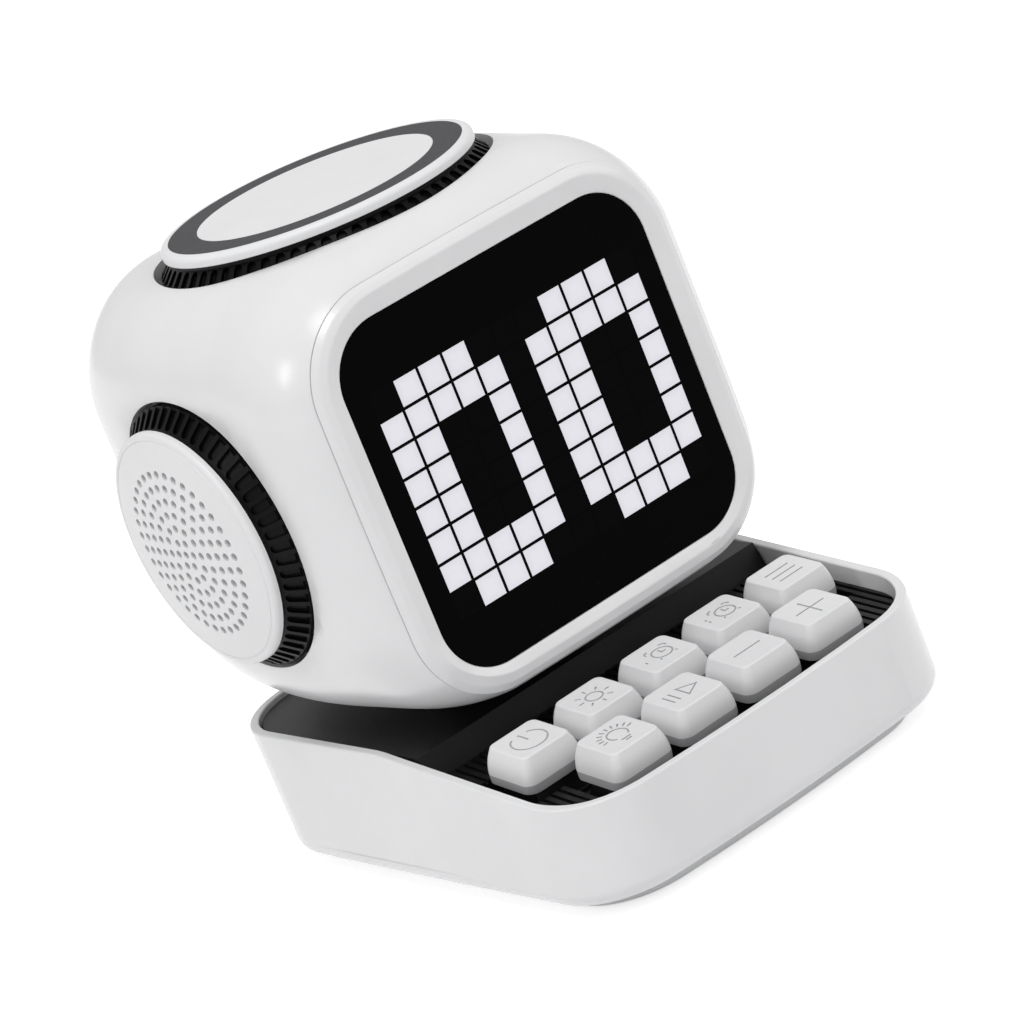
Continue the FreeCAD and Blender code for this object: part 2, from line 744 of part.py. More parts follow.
grille = grille_solid()
basket = turned([
    (driver_flange_radius, 0), (driver_flange_radius, driver_flange_thick),
    (driver_floor_radius - driver_wall - fit_gap, driver_flange_thick),
    (driver_floor_radius - driver_wall - fit_gap, 0),
    (driver_throat_radius - driver_wall, driver_wall - driver_depth),
    (cone_hub_radius, driver_wall - driver_depth), (cone_hub_radius, -driver_depth),
    (driver_throat_radius, -driver_depth), (driver_floor_radius - fit_gap, 0)], v(0, 0, 0), up)
cone_top = driver_flange_thick + cone_wall
cone_edge_radius = cone_rim_radius + 2 * driver_wall
cone = turned([
    (cone_edge_radius, driver_flange_thick), (cone_edge_radius, cone_top),
    (cone_rim_radius, cone_top), (cone_rim_radius - roll_radius, cone_top + roll_radius),
    (cone_rim_radius - 2 * roll_radius, cone_top), (cone_hub_radius, cone_top - cone_depth),
    (cone_hub_radius / 2, cone_top - cone_depth + roll_radius), (0, cone_top - cone_depth + 2 * cone_wall),
    (0, cone_top - cone_depth), (cone_hub_radius, driver_flange_thick - cone_depth - cone_wall / 2),
    (cone_rim_radius - 2 * roll_radius, driver_flange_thick)], v(0, 0, 0), up)
magnet = turned([
    (driver_pole_radius, 0), (driver_magnet_radius, 0), (driver_magnet_radius, driver_magnet_thick),
    (driver_pole_radius, driver_magnet_thick)], v(0, 0, -driver_depth - driver_magnet_thick), up)
for side in (-1, 1):
    out = v(side, 0, 0)
    save(side_name(side) + "_grille", stood(grille, v(side * grille_base_x, belly_y, disc_axis_z), out))
    save(side_name(side) + "_driver_basket", stood(basket, speaker_start(side), out))
    save(side_name(side) + "_driver_cone", stood(cone, speaker_start(side), out))
    save(side_name(side) + "_driver_magnet", stood(magnet, speaker_start(side), out))


# Tray: an open box with a rounded foot, whose rim rises to the back
def tray_outline(z, inset):
    """The tray's plan at a height, drawn in by inset."""
    rise = (z - tray_bottom_z) / (rim_back_z - tray_bottom_z)

    def between(low, high):
        return low + (high - low) * rise
    return bowed_outline(
        level(z), between(tray_bottom_half_width, tray_rim_half_width) - inset,
        between(tray_bottom_front_y, tray_rim_front_y) + inset,
        between(tray_bottom_back_y, tray_rim_back_y) - inset,
        between(tray_bottom_corner, tray_rim_corner) - inset,
        tray_side_bow, tray_front_bow, tray_side_bow)


def rim_room():
    """All that lies over the rim: a side line with two rounded bends, drawn across."""
    low_y = tray_rim_front_y - overrun
    high_y = tray_rim_back_y + overrun
    slope = math.atan2(rim_back_z - rim_front_z, rim_rise_end_y - rim_rise_start_y)
    reach = rim_bend_radius * math.tan(slope / 2)
    on_slope = v(0, reach * math.cos(slope), reach * math.sin(slope))
    half_way = v(0, rim_bend_radius * math.sin(slope / 2), rim_bend_radius * (1 - math.cos(slope / 2)))
    start = v(0, rim_rise_start_y - reach, rim_front_z)
    first = v(0, rim_rise_start_y, rim_front_z) + on_slope
    second = v(0, rim_rise_end_y, rim_back_z) - on_slope
    end = v(0, rim_rise_end_y + reach, rim_back_z)
    top = rim_back_z + 2 * overrun
    edges = [
        Part.makeLine(v(0, low_y, rim_front_z), start),
        Part.Arc(start, start + half_way, first).toShape(),
        Part.makeLine(first, second),
        Part.Arc(second, end - half_way, end).toShape(),
        Part.makeLine(end, v(0, high_y, rim_back_z)),
        Part.makeLine(v(0, high_y, rim_back_z), v(0, high_y, top)),
        Part.makeLine(v(0, high_y, top), v(0, low_y, top)),
        Part.makeLine(v(0, low_y, top), v(0, low_y, rim_front_z)),
    ]
    room = prism(Part.Wire(edges), v(2 * (tray_bottom_half_width + overrun), 0, 0))
    room.translate(v(-tray_bottom_half_width - overrun, 0, 0))
    return room


tray_inner_z = tray_bottom_z + tray_floor
above_rim = rim_room()
tray_blank = ruled([tray_outline(tray_bottom_z, 0), tray_outline(rim_back_z, 0)])
foot_edges = [edge for edge in tray_blank.Edges if edge.BoundBox.ZMax < tray_bottom_z + tray_floor]
tray_blank = tray_blank.makeFillet(tray_rounding, foot_edges)
tray_room = ruled([tray_outline(tray_inner_z, tray_wall), tray_outline(rim_back_z, tray_wall)])


def plate_outline(z, inset):
    return bowed_outline(level(z), plate_half_width - inset, plate_front_y + inset, plate_back_y - inset,
                         plate_corner - inset, tray_side_bow, tray_front_bow, tray_side_bow)


floor_opening = prism(plate_outline(tray_bottom_z - overrun, floor_opening_inset),
                      up * (tray_floor + 2 * overrun))


# Deck frame: from here on, shapes made flat are laid on the deck's slope
def on_deck(shape):
    copy = shape.copy()
    lean = FreeCAD.Placement(v(0, deck_origin_y, deck_origin_z), FreeCAD.Rotation(v(1, 0, 0), deck_tilt))
    copy.Placement = lean.multiply(copy.Placement)
    return copy


far = 2 * tray_bottom_half_width + overrun
under_deck = on_deck(block(-far, far, -far, far, -far, -deck_thick))
tray_posts = [block(x - post_half_side, x + post_half_side, y - post_half_side, y + post_half_side,
                    tray_inner_z, rim_back_z)
              for x in (-post_x, post_x) for y in (post_front_y, post_back_y)]
tray_posts = [post.common(under_deck).common(tray_room) for post in tray_posts]
base_shell = tray_blank.cut([tray_room, above_rim, floor_opening]).fuse(tray_posts)
save("base_shell", base_shell.removeSplitter())


# Bottom plate, its screws and the four rubber feet let into it
plate_blank = prism(plate_outline(plate_z, 0), up * (tray_bottom_z - plate_z))
low_edges = [edge for edge in plate_blank.Edges if edge.BoundBox.ZMax < plate_z + fit_gap]
plate_blank = plate_blank.makeFillet(plate_rounding, low_edges)
foot_sites = [(x, y) for x in (-foot_x, foot_x) for y in (foot_front_y, foot_back_y)]
foot_height = plate_z + foot_recess
foot_rooms = [rod(foot_radius, v(x, y, 0), up, foot_height) for x, y in foot_sites]
save("bottom_plate", plate_blank.cut(foot_rooms))
feet = [rod(foot_radius, v(x, y, 0), up, foot_height) for x, y in foot_sites]
save("rubber_feet", Part.makeCompound(feet))


# Battery: two cells in one sleeve, lying across the tray on the bottom plate
sleeve_radius = battery_radius + battery_wrap
battery_z = tray_bottom_z + sleeve_radius
cells_pair = [rod(sleeve_radius, v(-battery_length / 2, y, battery_z), v(1, 0, 0), battery_length)
              for y in (battery_y - battery_radius, battery_y + battery_radius)]
sleeve = block(-battery_length / 2, battery_length / 2, battery_y - battery_radius,
               battery_y + battery_radius, tray_bottom_z, tray_bottom_z + 2 * sleeve_radius)
save("battery", cells_pair[0].fuse([cells_pair[1], sleeve]))


# Liner: a dark cover over the back of the tray, whose front face drops to the deck
def liner_solid(inset, front_y, top_z, low_z):
    shape = ruled([tray_outline(z, tray_wall + inset) for z in (tray_inner_z, rim_back_z)])
    toe_y = front_y - liner_front_run
    points = [(front_y, top_z), (tray_rim_back_y, top_z), (tray_rim_back_y, low_z - overrun),
              (toe_y, low_z - overrun), (toe_y, top_z - liner_front_drop)]
    corners = [v(-far, y, z) for y, z in points]
    return shape.common(prism(Part.makePolygon(corners + [corners[0]]), v(2 * far, 0, 0)))


liner_outside = liner_solid(liner_gap, liner_front_y, liner_top_z, tray_inner_z)
liner_inside = liner_solid(liner_gap + liner_wall, liner_front_y + liner_wall, liner_top_z - liner_wall,
                           tray_inner_z)
neck_way = rod(neck_bore_radius, neck_centre + up * tray_inner_z, up, liner_top_z)
neck_turns = [2 * math.pi * index / neck_screws_count for index in range(neck_screws_count)]
neck_screw_sites = [v(neck_screw_circle * math.sin(turn), belly_y + neck_screw_circle * math.cos(turn),
                      liner_top_z - liner_wall) for turn in neck_turns]
liner_holes = [rod(screw_radius, site, up, liner_wall) for site in neck_screw_sites]
save("liner", liner_outside.cut([liner_inside, neck_way] + liner_holes).removeSplitter())


# Neck: a short round column that stands on the liner and carries the head, with a nut
# inside the head and screws from under the liner
neck = turned([(neck_bore_radius, liner_top_z), (neck_shoulder_radius, liner_top_z),
               (neck_shoulder_radius, neck_seat_z), (neck_radius, neck_seat_z),
               (neck_radius, neck_top_z + neck_nut_thick), (neck_bore_radius, neck_top_z + neck_nut_thick)],
              neck_centre, up)
neck_threads = [rod(screw_radius, site + up * liner_wall, up, neck_screw_length - liner_wall)
                for site in neck_screw_sites]
save("neck", neck.cut(neck_threads))
neck_nut = turned([(neck_radius, 0), (neck_nut_radius, 0), (neck_nut_radius, neck_nut_thick),
                   (neck_radius, neck_nut_thick)], neck_centre + up * neck_top_z, up)
save("neck_nut", neck_nut)
neck_screws = [screw(site, up, neck_screw_length) for site in neck_screw_sites]
save("neck_screws", Part.makeCompound(neck_screws))


# Key deck: a ribbed dark plate with a stepped well that the key caps sink into
def key_sites():
    sites = []
    for names, row in ((back_row_names, 1), (front_row_names, -1)):
        for index, name in enumerate(names):
            sites.append((name, (index - (len(names) - 1) / 2) * key_pitch, row * key_pitch / 2))
    return sites


def key_field(margin, low, high):
    """A slab under both key rows, wider behind, margin larger than the caps all round."""
    reach = cap_base / 2 + margin
    slabs = []
    for count, row in ((back_row_keys, 1), (front_row_keys, -1)):
        half_width = (count - 1) / 2 * key_pitch + reach
        centre = row * key_pitch / 2
        slabs.append(block(-half_width, half_width, centre - reach, centre + reach, low, high))
    return slabs[0].fuse(slabs[1])


deck_room = ruled([tray_outline(z, tray_wall + deck_gap) for z in (tray_inner_z, rim_back_z)])
in_front = block(-far, far, -far, liner_front_y - liner_front_run - deck_gap, 0, far)
deck_slab = on_deck(block(-far, far, -far, far, -deck_thick, 0)).common(deck_room).common(in_front)
well_wall = key_field(well_gap + deck_thick, -switch_plate_drop, -deck_thick)
well = key_field(well_gap, -switch_plate_drop - overrun, overrun)
deck_solid = deck_slab.fuse(on_deck(well_wall)).cut(on_deck(well))
groove_count = int(tray_bottom_half_width / deck_rib_pitch)
deck_grooves = []
for index in range(-groove_count, groove_count):
    start_x = index * deck_rib_pitch + deck_rib_width / 2
    deck_grooves.append(block(start_x, start_x + deck_rib_pitch - deck_rib_width, -far, far,
                              -deck_rib_height, overrun))
key_deck = deck_solid.cut(on_deck(Part.makeCompound(deck_grooves)))
save("key_deck", key_deck)


# Switches: a steel plate under the well, nine housings through it, and their board
def centred_block(width, length, low, high, x, y):
    return block(x - width / 2, x + width / 2, y - length / 2, y + length / 2, low, high)


plate_top = -switch_plate_drop
plate_low = plate_top - switch_plate_thick
switch_low = plate_top - switch_below
housing_top = plate_top + switch_top_height
switch_plate = key_field(well_gap + deck_thick, plate_low, plate_top)
switch_plate = switch_plate.cut([centred_block(switch_body, switch_body, plate_low, plate_top, x, y)
                                 for name, x, y in key_sites()])
save("switch_plate", on_deck(switch_plate))


def square_wire(side, height):
    half = side / 2
    corners = [(-half, -half), (half, -half), (half, half), (-half, half), (-half, -half)]
    return Part.makePolygon([v(x, y, height) for x, y in corners])


def switch_housing():
    body = centred_block(switch_body, switch_body, switch_low, plate_top, 0, 0)
    flange = centred_block(switch_flange, switch_flange, plate_top, plate_top + switch_flange_thick, 0, 0)
    tower = ruled([square_wire(switch_body, plate_top + switch_flange_thick),
                   square_wire(switch_top, housing_top)])
    room = centred_block(slider_width + 2 * slider_gap, slider_length + 2 * slider_gap,
                         switch_low + switch_floor, housing_top, 0, 0)
    return body.fuse([flange, tower]).cut(room)


housing = switch_housing()


def placed(shape, x, y):
    copy = shape.copy()
    copy.translate(v(x, y, 0))
    return on_deck(copy)


save("switch_housings", Part.makeCompound([placed(housing, x, y) for name, x, y in key_sites()]))
save("key_board", on_deck(key_field(well_gap + deck_thick, switch_low - key_board_thick, switch_low)))


# Key caps: a straight skirt, four long slopes and a smaller top, hollow underneath with
# a boss for the slider's cross
cap_low = cap_lift
cap_high = cap_lift + cap_height
roof_low = cap_high - cap_roof


def cap_outline(width, length, corner, shift, height):
    return rounded_rectangle(level(height), width / 2, shift - length / 2, shift + length / 2, corner)


def key_cap():
    skirt_top = cap_low + cap_skirt
    sections = [cap_outline(cap_base, cap_base, cap_base_corner, 0, cap_low),
                cap_outline(cap_base, cap_base, cap_base_corner, 0, skirt_top)]
    for turn in cap_round_shares:
        inset = cap_rounding * (1 - math.cos(math.pi / 2 * turn)) - cap_rounding / 2
        height = cap_high - cap_rounding * (1 - math.sin(math.pi / 2 * turn))
        sections.append(cap_outline(cap_top_width - 2 * inset, cap_top_length - 2 * inset,
                                    cap_top_corner - inset, cap_top_shift, height))
    inner_base = cap_base - 2 * cap_wall
    inner_corner = cap_base_corner - cap_wall / 2
    room = ruled([cap_outline(inner_base, inner_base, inner_corner, 0, cap_low),
                  cap_outline(cap_top_width - cap_wall, cap_top_length - cap_wall, inner_corner,
                              cap_top_shift, roof_low)])
    boss_low = housing_top + key_travel + boss_clear
    boss = rod(socket_boss_radius, v(0, 0, boss_low), up, roof_low - boss_low)
    return ruled(sections).cut(room).fuse(boss).cut(cross(boss_low, roof_low)).removeSplitter()


def cross(low, high):
    return centred_block(cross_length, cross_width, low, high, 0, 0).fuse(
        centred_block(cross_width, cross_length, low, high, 0, 0))


def slider():
    top = housing_top + slider_above
    block_part = centred_block(slider_width, slider_length, plate_top + switch_flange_thick, top, 0, 0)
    return block_part.fuse(cross(top, roof_low)).removeSplitter()


cap = key_cap()
stem = slider()
for name, x, y in key_sites():
    save("key_cap_" + name, placed(cap, x, y))
    save("key_stem_" + name, placed(stem, x, y))
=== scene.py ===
import bmesh
import bpy
import json
import math
from mathutils import Matrix, Vector

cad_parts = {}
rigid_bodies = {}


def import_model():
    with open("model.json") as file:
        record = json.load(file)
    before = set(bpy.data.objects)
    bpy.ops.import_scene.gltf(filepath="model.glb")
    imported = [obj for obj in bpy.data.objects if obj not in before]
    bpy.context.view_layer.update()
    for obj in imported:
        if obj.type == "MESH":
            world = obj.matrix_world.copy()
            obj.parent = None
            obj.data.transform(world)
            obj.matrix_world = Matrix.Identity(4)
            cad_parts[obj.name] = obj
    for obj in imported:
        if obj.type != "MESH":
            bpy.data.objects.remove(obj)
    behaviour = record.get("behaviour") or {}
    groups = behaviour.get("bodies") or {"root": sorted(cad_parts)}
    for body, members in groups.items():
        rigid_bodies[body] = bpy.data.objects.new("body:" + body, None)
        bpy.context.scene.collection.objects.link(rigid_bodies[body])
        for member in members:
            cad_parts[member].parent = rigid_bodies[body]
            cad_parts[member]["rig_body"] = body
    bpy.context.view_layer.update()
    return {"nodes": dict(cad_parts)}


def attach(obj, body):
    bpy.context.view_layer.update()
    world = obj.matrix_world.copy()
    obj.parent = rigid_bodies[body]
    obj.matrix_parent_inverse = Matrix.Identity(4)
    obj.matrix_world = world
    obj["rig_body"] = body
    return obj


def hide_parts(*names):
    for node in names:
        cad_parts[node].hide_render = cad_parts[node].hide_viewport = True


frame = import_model()
nodes = frame["nodes"]
mm = 0.001


# Studio: a pale floor, a white room round it, a broad soft lamp high in front on the
# left, a weaker one on the right, a small one low on the left that draws a streak on
# the glossy shell, and a long lens that looks a little down.
camera_place = Vector((-0.4372, -0.7519, 0.3293))
camera_right = Vector((0.74545, -0.56061, -0.36057))
camera_up = Vector((0.45965, 0.04060, 0.88717))
camera_forward = Vector((0.48272, 0.82708, -0.28795))
camera_lens = 143.32
camera_sensor = 36.0
camera_reach = 20.0
lamps = (("key_lamp", (-0.6, -0.6, 1.9), 13.0, (0.9, 0.9)),
         ("fill_lamp", (1.2, -0.6, 0.9), 3.6, (1.2, 1.2)),
         ("streak_lamp", (-1.33, 0.03, 0.87), 2.4, (0.18, 0.46)))
lamp_aim = Vector((0, 0, 0.08))
room_light = 0.60
room_seen = 1.0
floor_half = 4.0
floor_rough = 0.9
floor_white = (0.8, 0.8, 0.8, 1)
floor_bounce = (0.78, 0.78, 0.79, 1)
floor_lift = (0.62, 0.62, 0.62, 1)


def joined(tree, kind, inputs=(), **settings):
    """Adds a node, fills its inputs by place or name with values or sockets, and returns it."""
    node = tree.nodes.new(kind)
    for key, value in settings.items():
        setattr(node, key, value)
    pairs = inputs.items() if isinstance(inputs, dict) else enumerate(inputs)
    for key, value in pairs:
        if isinstance(value, bpy.types.NodeSocket):
            tree.links.new(value, node.inputs[key])
        else:
            node.inputs[key].default_value = value
    return node


def blank_material(name):
    """A material with an empty node tree, its shader and its output."""
    material = bpy.data.materials.new(name)
    material.use_nodes = True
    tree = material.node_tree
    tree.nodes.clear()
    shader = tree.nodes.new("ShaderNodeBsdfPrincipled")
    joined(tree, "ShaderNodeOutputMaterial", {"Surface": shader.outputs[0]})
    return material, tree, shader


def floor_finish():
    """A pale matt floor that looks white to the lens without lighting the piece more."""
    material, tree, shader = blank_material("studio_floor")
    rays = tree.nodes.new("ShaderNodeLightPath")
    seen = rays.outputs["Is Camera Ray"]
    for other in ("Is Glossy Ray", "Is Transmission Ray"):
        seen = joined(tree, "ShaderNodeMath", (seen, rays.outputs[other]),
                      operation="MAXIMUM").outputs[0]
    tone = joined(tree, "ShaderNodeMix", {0: seen, 6: floor_bounce, 7: floor_white},
                  data_type="RGBA")
    lift = joined(tree, "ShaderNodeMix", {0: seen, 6: (0, 0, 0, 1), 7: floor_lift},
                  data_type="RGBA")
    tree.links.new(tone.outputs[2], shader.inputs["Base Color"])
    tree.links.new(lift.outputs[2], shader.inputs["Emission Color"])
    shader.inputs["Emission Strength"].default_value = 1.0
    shader.inputs["Roughness"].default_value = floor_rough
    shader.inputs["Specular IOR Level"].default_value = 0.0
    return material


turn = Matrix((camera_right, camera_up, -camera_forward)).transposed().to_4x4()
camera = bpy.data.objects.new("camera", bpy.data.cameras.new("camera"))
camera.matrix_world = Matrix.Translation(camera_place) @ turn
camera.data.lens = camera_lens
camera.data.sensor_width = camera_sensor
camera.data.clip_end = camera_reach
bpy.context.scene.collection.objects.link(camera)
bpy.context.scene.camera = camera
bpy.context.scene.view_settings.view_transform = "Standard"
floor_mesh = bpy.data.meshes.new("floor")
floor_corners = ((-1, -1), (1, -1), (1, 1), (-1, 1))
floor_mesh.from_pydata([(floor_half * x, floor_half * y, 0) for x, y in floor_corners], [],
                       [(0, 1, 2, 3)])
floor_mesh.materials.append(floor_finish())
floor = bpy.data.objects.new("floor", floor_mesh)
bpy.context.scene.collection.objects.link(floor)
for name, place, power, (width, tall) in lamps:
    lamp = bpy.data.objects.new(name, bpy.data.lights.new(name, "AREA"))
    lamp.data.energy = power
    lamp.data.shape = "ELLIPSE"
    lamp.data.size = width
    lamp.data.size_y = tall
    lamp.location = place
    lamp.rotation_euler = (lamp_aim - Vector(place)).to_track_quat("-Z", "Y").to_euler()
    bpy.context.scene.collection.objects.link(lamp)
room = bpy.data.worlds.new("room")
room.use_nodes = True
room.node_tree.nodes.clear()
rays = room.node_tree.nodes.new("ShaderNodeLightPath")
level = joined(room.node_tree, "ShaderNodeMapRange",
               {0: rays.outputs["Is Camera Ray"], 3: room_light, 4: room_seen})
light = joined(room.node_tree, "ShaderNodeBackground",
               {"Color": (1, 1, 1, 1), "Strength": level.outputs[0]})
joined(room.node_tree, "ShaderNodeOutputWorld", {"Surface": light.outputs[0]})
bpy.context.scene.world = room


# Tray: the low white box that everything stands in. It is moulded in white plastic
# with a faint satin grain, and its rim is rounded and rises towards the back.
tray_edge = 0.45
tray_flat = 1.5
tray_rim_start = 12.0
weld = 0.001
sharp_angle = 32
gloss_drift = 0.15
shell_white = (0.80, 0.80, 0.807)
shell_rough = 0.24
shell_grain = 1900.0


def grain_group():
    """Moulded plastic: a broad mottle and a fine raised grain, both by place on the piece."""
    tree = bpy.data.node_groups.new("moulded_grain", "ShaderNodeTree")
    sockets = tree.interface
    sockets.new_socket("Mottle Scale", in_out="INPUT", socket_type="NodeSocketFloat")
    sockets.new_socket("Grain Scale", in_out="INPUT", socket_type="NodeSocketFloat")
    sockets.new_socket("Mottle", in_out="OUTPUT", socket_type="NodeSocketFloat")
    sockets.new_socket("Grain", in_out="OUTPUT", socket_type="NodeSocketFloat")
    given = tree.nodes.new("NodeGroupInput")
    place = tree.nodes.new("ShaderNodeTexCoord")
    broad = joined(tree, "ShaderNodeTexNoise", {"Vector": place.outputs["Object"],
                   "Scale": given.outputs["Mottle Scale"], "Detail": 3.0, "Roughness": 0.55})
    fine = joined(tree, "ShaderNodeTexNoise", {"Vector": place.outputs["Object"],
                  "Scale": given.outputs["Grain Scale"], "Detail": 2.0, "Roughness": 0.6})
    joined(tree, "NodeGroupOutput", {"Mottle": broad.outputs[0], "Grain": fine.outputs[0]})
    return tree


moulded_grain = grain_group()


def moulded(name, colour, rough, grain, mottle=45.0, spread=0.05, bump=0.12, depth=0.03,
            metal=0.0, spec=0.5):
    """A moulded finish: the colour and gloss drift a little and a fine grain lies on top."""
    material, tree, shader = blank_material(name)
    skin = joined(tree, "ShaderNodeGroup", node_tree=moulded_grain)
    skin.inputs["Mottle Scale"].default_value = mottle
    skin.inputs["Grain Scale"].default_value = grain
    low = tuple(c * (1 - spread) for c in colour) + (1,)
    high = tuple(min(1, c * (1 + spread)) for c in colour) + (1,)
    tone = joined(tree, "ShaderNodeMix", {0: skin.outputs["Mottle"], 6: low, 7: high},
                  data_type="RGBA")
    gloss = joined(tree, "ShaderNodeMapRange", {
        0: skin.outputs["Grain"], 3: rough * (1 - gloss_drift), 4: rough * (1 + gloss_drift)})
    relief = joined(tree, "ShaderNodeBump", {"Height": skin.outputs["Grain"], "Strength": bump,
                                             "Distance": depth * mm})
    tree.links.new(tone.outputs[2], shader.inputs["Base Color"])
    tree.links.new(gloss.outputs[0], shader.inputs["Roughness"])
    tree.links.new(relief.outputs[0], shader.inputs["Normal"])
    shader.inputs["Metallic"].default_value = metal
    shader.inputs["Specular IOR Level"].default_value = spec
    return material


def shown(name, mesh, material, body="root", stands_for=()):
    """Puts a finished mesh in the scene as a piece that rides on a body."""
    piece = bpy.data.objects.new(name, mesh)
    if not mesh.materials:
        mesh.materials.append(material)
    bpy.context.scene.collection.objects.link(piece)
    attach(piece, body)
    if stands_for:
        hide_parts(*stands_for)
    return piece


def smoothed(mesh, angle=sharp_angle):
    """Shades a mesh smooth but for its edges sharper than an angle."""
    mesh.shade_smooth()
    mesh.set_sharp_from_angle(angle=math.radians(angle))


def moulding(node, name, material, edge, steps=2, angle=sharp_angle, reshape=None,
             share=None, flat=0.3, mend=None):
    """A welded, smoothly shaded copy of a solid with its sharp edges rounded.

    Facets that lie within the flat angle are joined, and mend repairs the joined mesh.
    reshape moves its points and share says what part of the rounding an edge gets, both by
    place in millimetres.
    """
    mesh = nodes[node].data.copy()
    mesh.name = name
    mesh.materials.clear()
    work = bmesh.new()
    work.from_mesh(mesh)
    bmesh.ops.remove_doubles(work, verts=work.verts, dist=weld * mm)
    bmesh.ops.dissolve_limit(work, angle_limit=math.radians(flat), verts=work.verts,
                             edges=work.edges)
    if mend:
        mend(work)
    if reshape:
        for point in work.verts:
            point.co = reshape(point.co / mm) * mm
    widths = work.edges.layers.float.new("bevel_weight_edge")
    for border in work.edges:
        if border.calc_face_angle(0) > math.radians(angle):
            middle = (border.verts[0].co + border.verts[1].co) / 2
            border[widths] = share(middle / mm) if share else 1.0
    work.to_mesh(mesh)
    work.free()
    smoothed(mesh, angle)
    piece = shown(name, mesh, material, nodes[node]["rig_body"], (node,))
    bevel = piece.modifiers.new("rounded_edges", "BEVEL")
    bevel.width = edge * mm
    bevel.segments = steps
    bevel.limit_method = "WEIGHT"
    bevel.harden_normals = True


def tray_share(place):
    """The rim is rounded and the edge over the bottom plate stays crisp."""
    return float(place.z > tray_rim_start)


white_plastic = moulded("white_shell_plastic", shell_white, shell_rough, shell_grain)
moulding("base_shell", "tray", white_plastic, tray_edge, steps=3,
         share=tray_share, flat=tray_flat)


# Bottom plate and feet: a white plate closes the tray from below, and four rubber
# discs are glued into its round recesses.
plate_edge = 0.4
plate_band_top = 2.3
plate_drop = 0.55
foot_seat = 1.6
seat_slack = 0.001
foot_edge = 0.5
rubber_black = (0.028, 0.028, 0.03)
foot_rubber = moulded("foot_rubber", rubber_black, rough=0.72, grain=900.0, spread=0.18, bump=0.35,
                      depth=0.08)


def plate_lowered(point):
    """Draws the plate's underside down, but for the seats of the feet, to show as a band."""
    if point.z < plate_band_top and abs(point.z - foot_seat) > seat_slack:
        point.z -= plate_drop
    return point


moulding("bottom_plate", "tray_plate", white_plastic, plate_edge,
         reshape=plate_lowered)
moulding("rubber_feet", "feet", foot_rubber, foot_edge)


# Battery: two cells side by side in a shrunk sleeve, lying on the bottom plate under
# the head.
sleeve_blue = (0.03, 0.09, 0.22)


def dress(finish, *names):
    """Gives solids that keep their shape a finish of their own."""
    for name in names:
        for slot in nodes[name].material_slots:
            slot.material = finish


dress(moulded("battery_sleeve_film", sleeve_blue, rough=0.3, grain=700.0, spread=0.12, bump=0.3,
              depth=0.1), "battery")


# Liner and neck: a dark satin cover over the back of the tray, and on it the short
# column that carries the head, both moulded in black plastic.
liner_edge = 0.9
neck_edge = 0.4
satin_black = (0.006, 0.006, 0.007)
black_plastic = moulded("black_satin_plastic", satin_black, rough=0.4, grain=1500.0, spread=0.12,
                        bump=0.2, depth=0.05, spec=0.3)
moulding("liner", "liner_cover", black_plastic, liner_edge, steps=3)
moulding("neck", "neck_column", black_plastic, neck_edge)


# Key deck: the ribbed dark plate round the keys, moulded in black plastic with its fine
# ribs, which run from front to back. It lies in the tray over the switch plate.
rib_edge = 0.18
deck_origin = Vector((0, -46.05, 23.9))
deck_tilt = math.radians(7.3)
deck_rise = 1.5
deck_face = -1.2


def deck_raised(point):
    """Lifts the ribbed face of the deck square to its slope, close up to the feet of the caps."""
    square = Vector((0, -math.sin(deck_tilt), math.cos(deck_tilt)))
    if (point - deck_origin).dot(square) > deck_face:
        point = point + square * deck_rise
    return point


moulding("key_deck", "ribbed_deck", black_plastic, rib_edge, reshape=deck_raised)


# Switches under the keys: steel plate, nine housings and their sliders, and the board
# they are soldered to.
steel_grey = (0.56, 0.57, 0.58)
housing_black = (0.012, 0.012, 0.013)
plate_black = (0.015, 0.015, 0.016)
slider_brown = (0.40, 0.10, 0.07)
board_green = (0.02, 0.09, 0.05)
sheet_steel = moulded("brushed_steel", steel_grey, rough=0.34, grain=2600.0, spread=0.06, bump=0.2,
                      depth=0.02, metal=1.0)
switch_plastic = moulded("switch_plastic", housing_black, rough=0.45, grain=1700.0, spread=0.1,
                         spec=0.3)
slider_plastic = moulded("slider_plastic", slider_brown, rough=0.4, grain=1700.0, spread=0.08)
painted_steel = moulded("black_painted_steel", plate_black, rough=0.5, grain=2200.0, spread=0.15,
                        bump=0.25, spec=0.3)
board_laminate = moulded("board_laminate", board_green, rough=0.38, grain=1200.0, mottle=160.0,
                         spread=0.25,
                         bump=0.25)
dress(painted_steel, "switch_plate")
dress(switch_plastic, "switch_housings")
dress(slider_plastic, *[name for name in nodes if name.startswith("key_stem_")])
dress(board_laminate, "key_board")


# Key caps: nine white caps, each with a short skirt, four full slopes and a flat
# top with its sign sunk in as fine lines. The skirt and the sign's grooves are painted
# greyer as shade. They are pressed on their sliders.
key_pitch = 19.05
cap_base = 16.3
cap_corner = 3.0
cap_low = 2.3
cap_skirt = 2.2
cap_high = 10.5
cap_top = (12.9, 13.2)
cap_top_corner = 1.7
cap_shift = -0.4
cap_rounding = 0.35
cap_bulge = 0.5
cap_wall = 0.9
cap_inner_corner = 1.2
cap_roof = 1.6
cap_foot_inset = 0.2
skirt_shares = (0.02, 0.15)
skirt_line = 0.012
slope_shares = (0.42, 0.56, 0.7, 0.85, 1)
skirt_rings = range(2, 5)
brow_steps = 4
dish_depth = 0.12
dish_rings = ((0.8, 0.25), (1.6, 0.7), (2.6, 1))
sign_depth = 0.25
sign_width = 0.27
sign_size = 1.6
corner_steps = 7
arc_step = 12
cap_sharp_angle = 38
dial_x = 0.6
dial_radius = 1.5
bell_radius = 0.6
bell_x = 1.25
bell_y = 1.45
bell_arc = 65
dash_x = -2.6
dash_step = 0.9
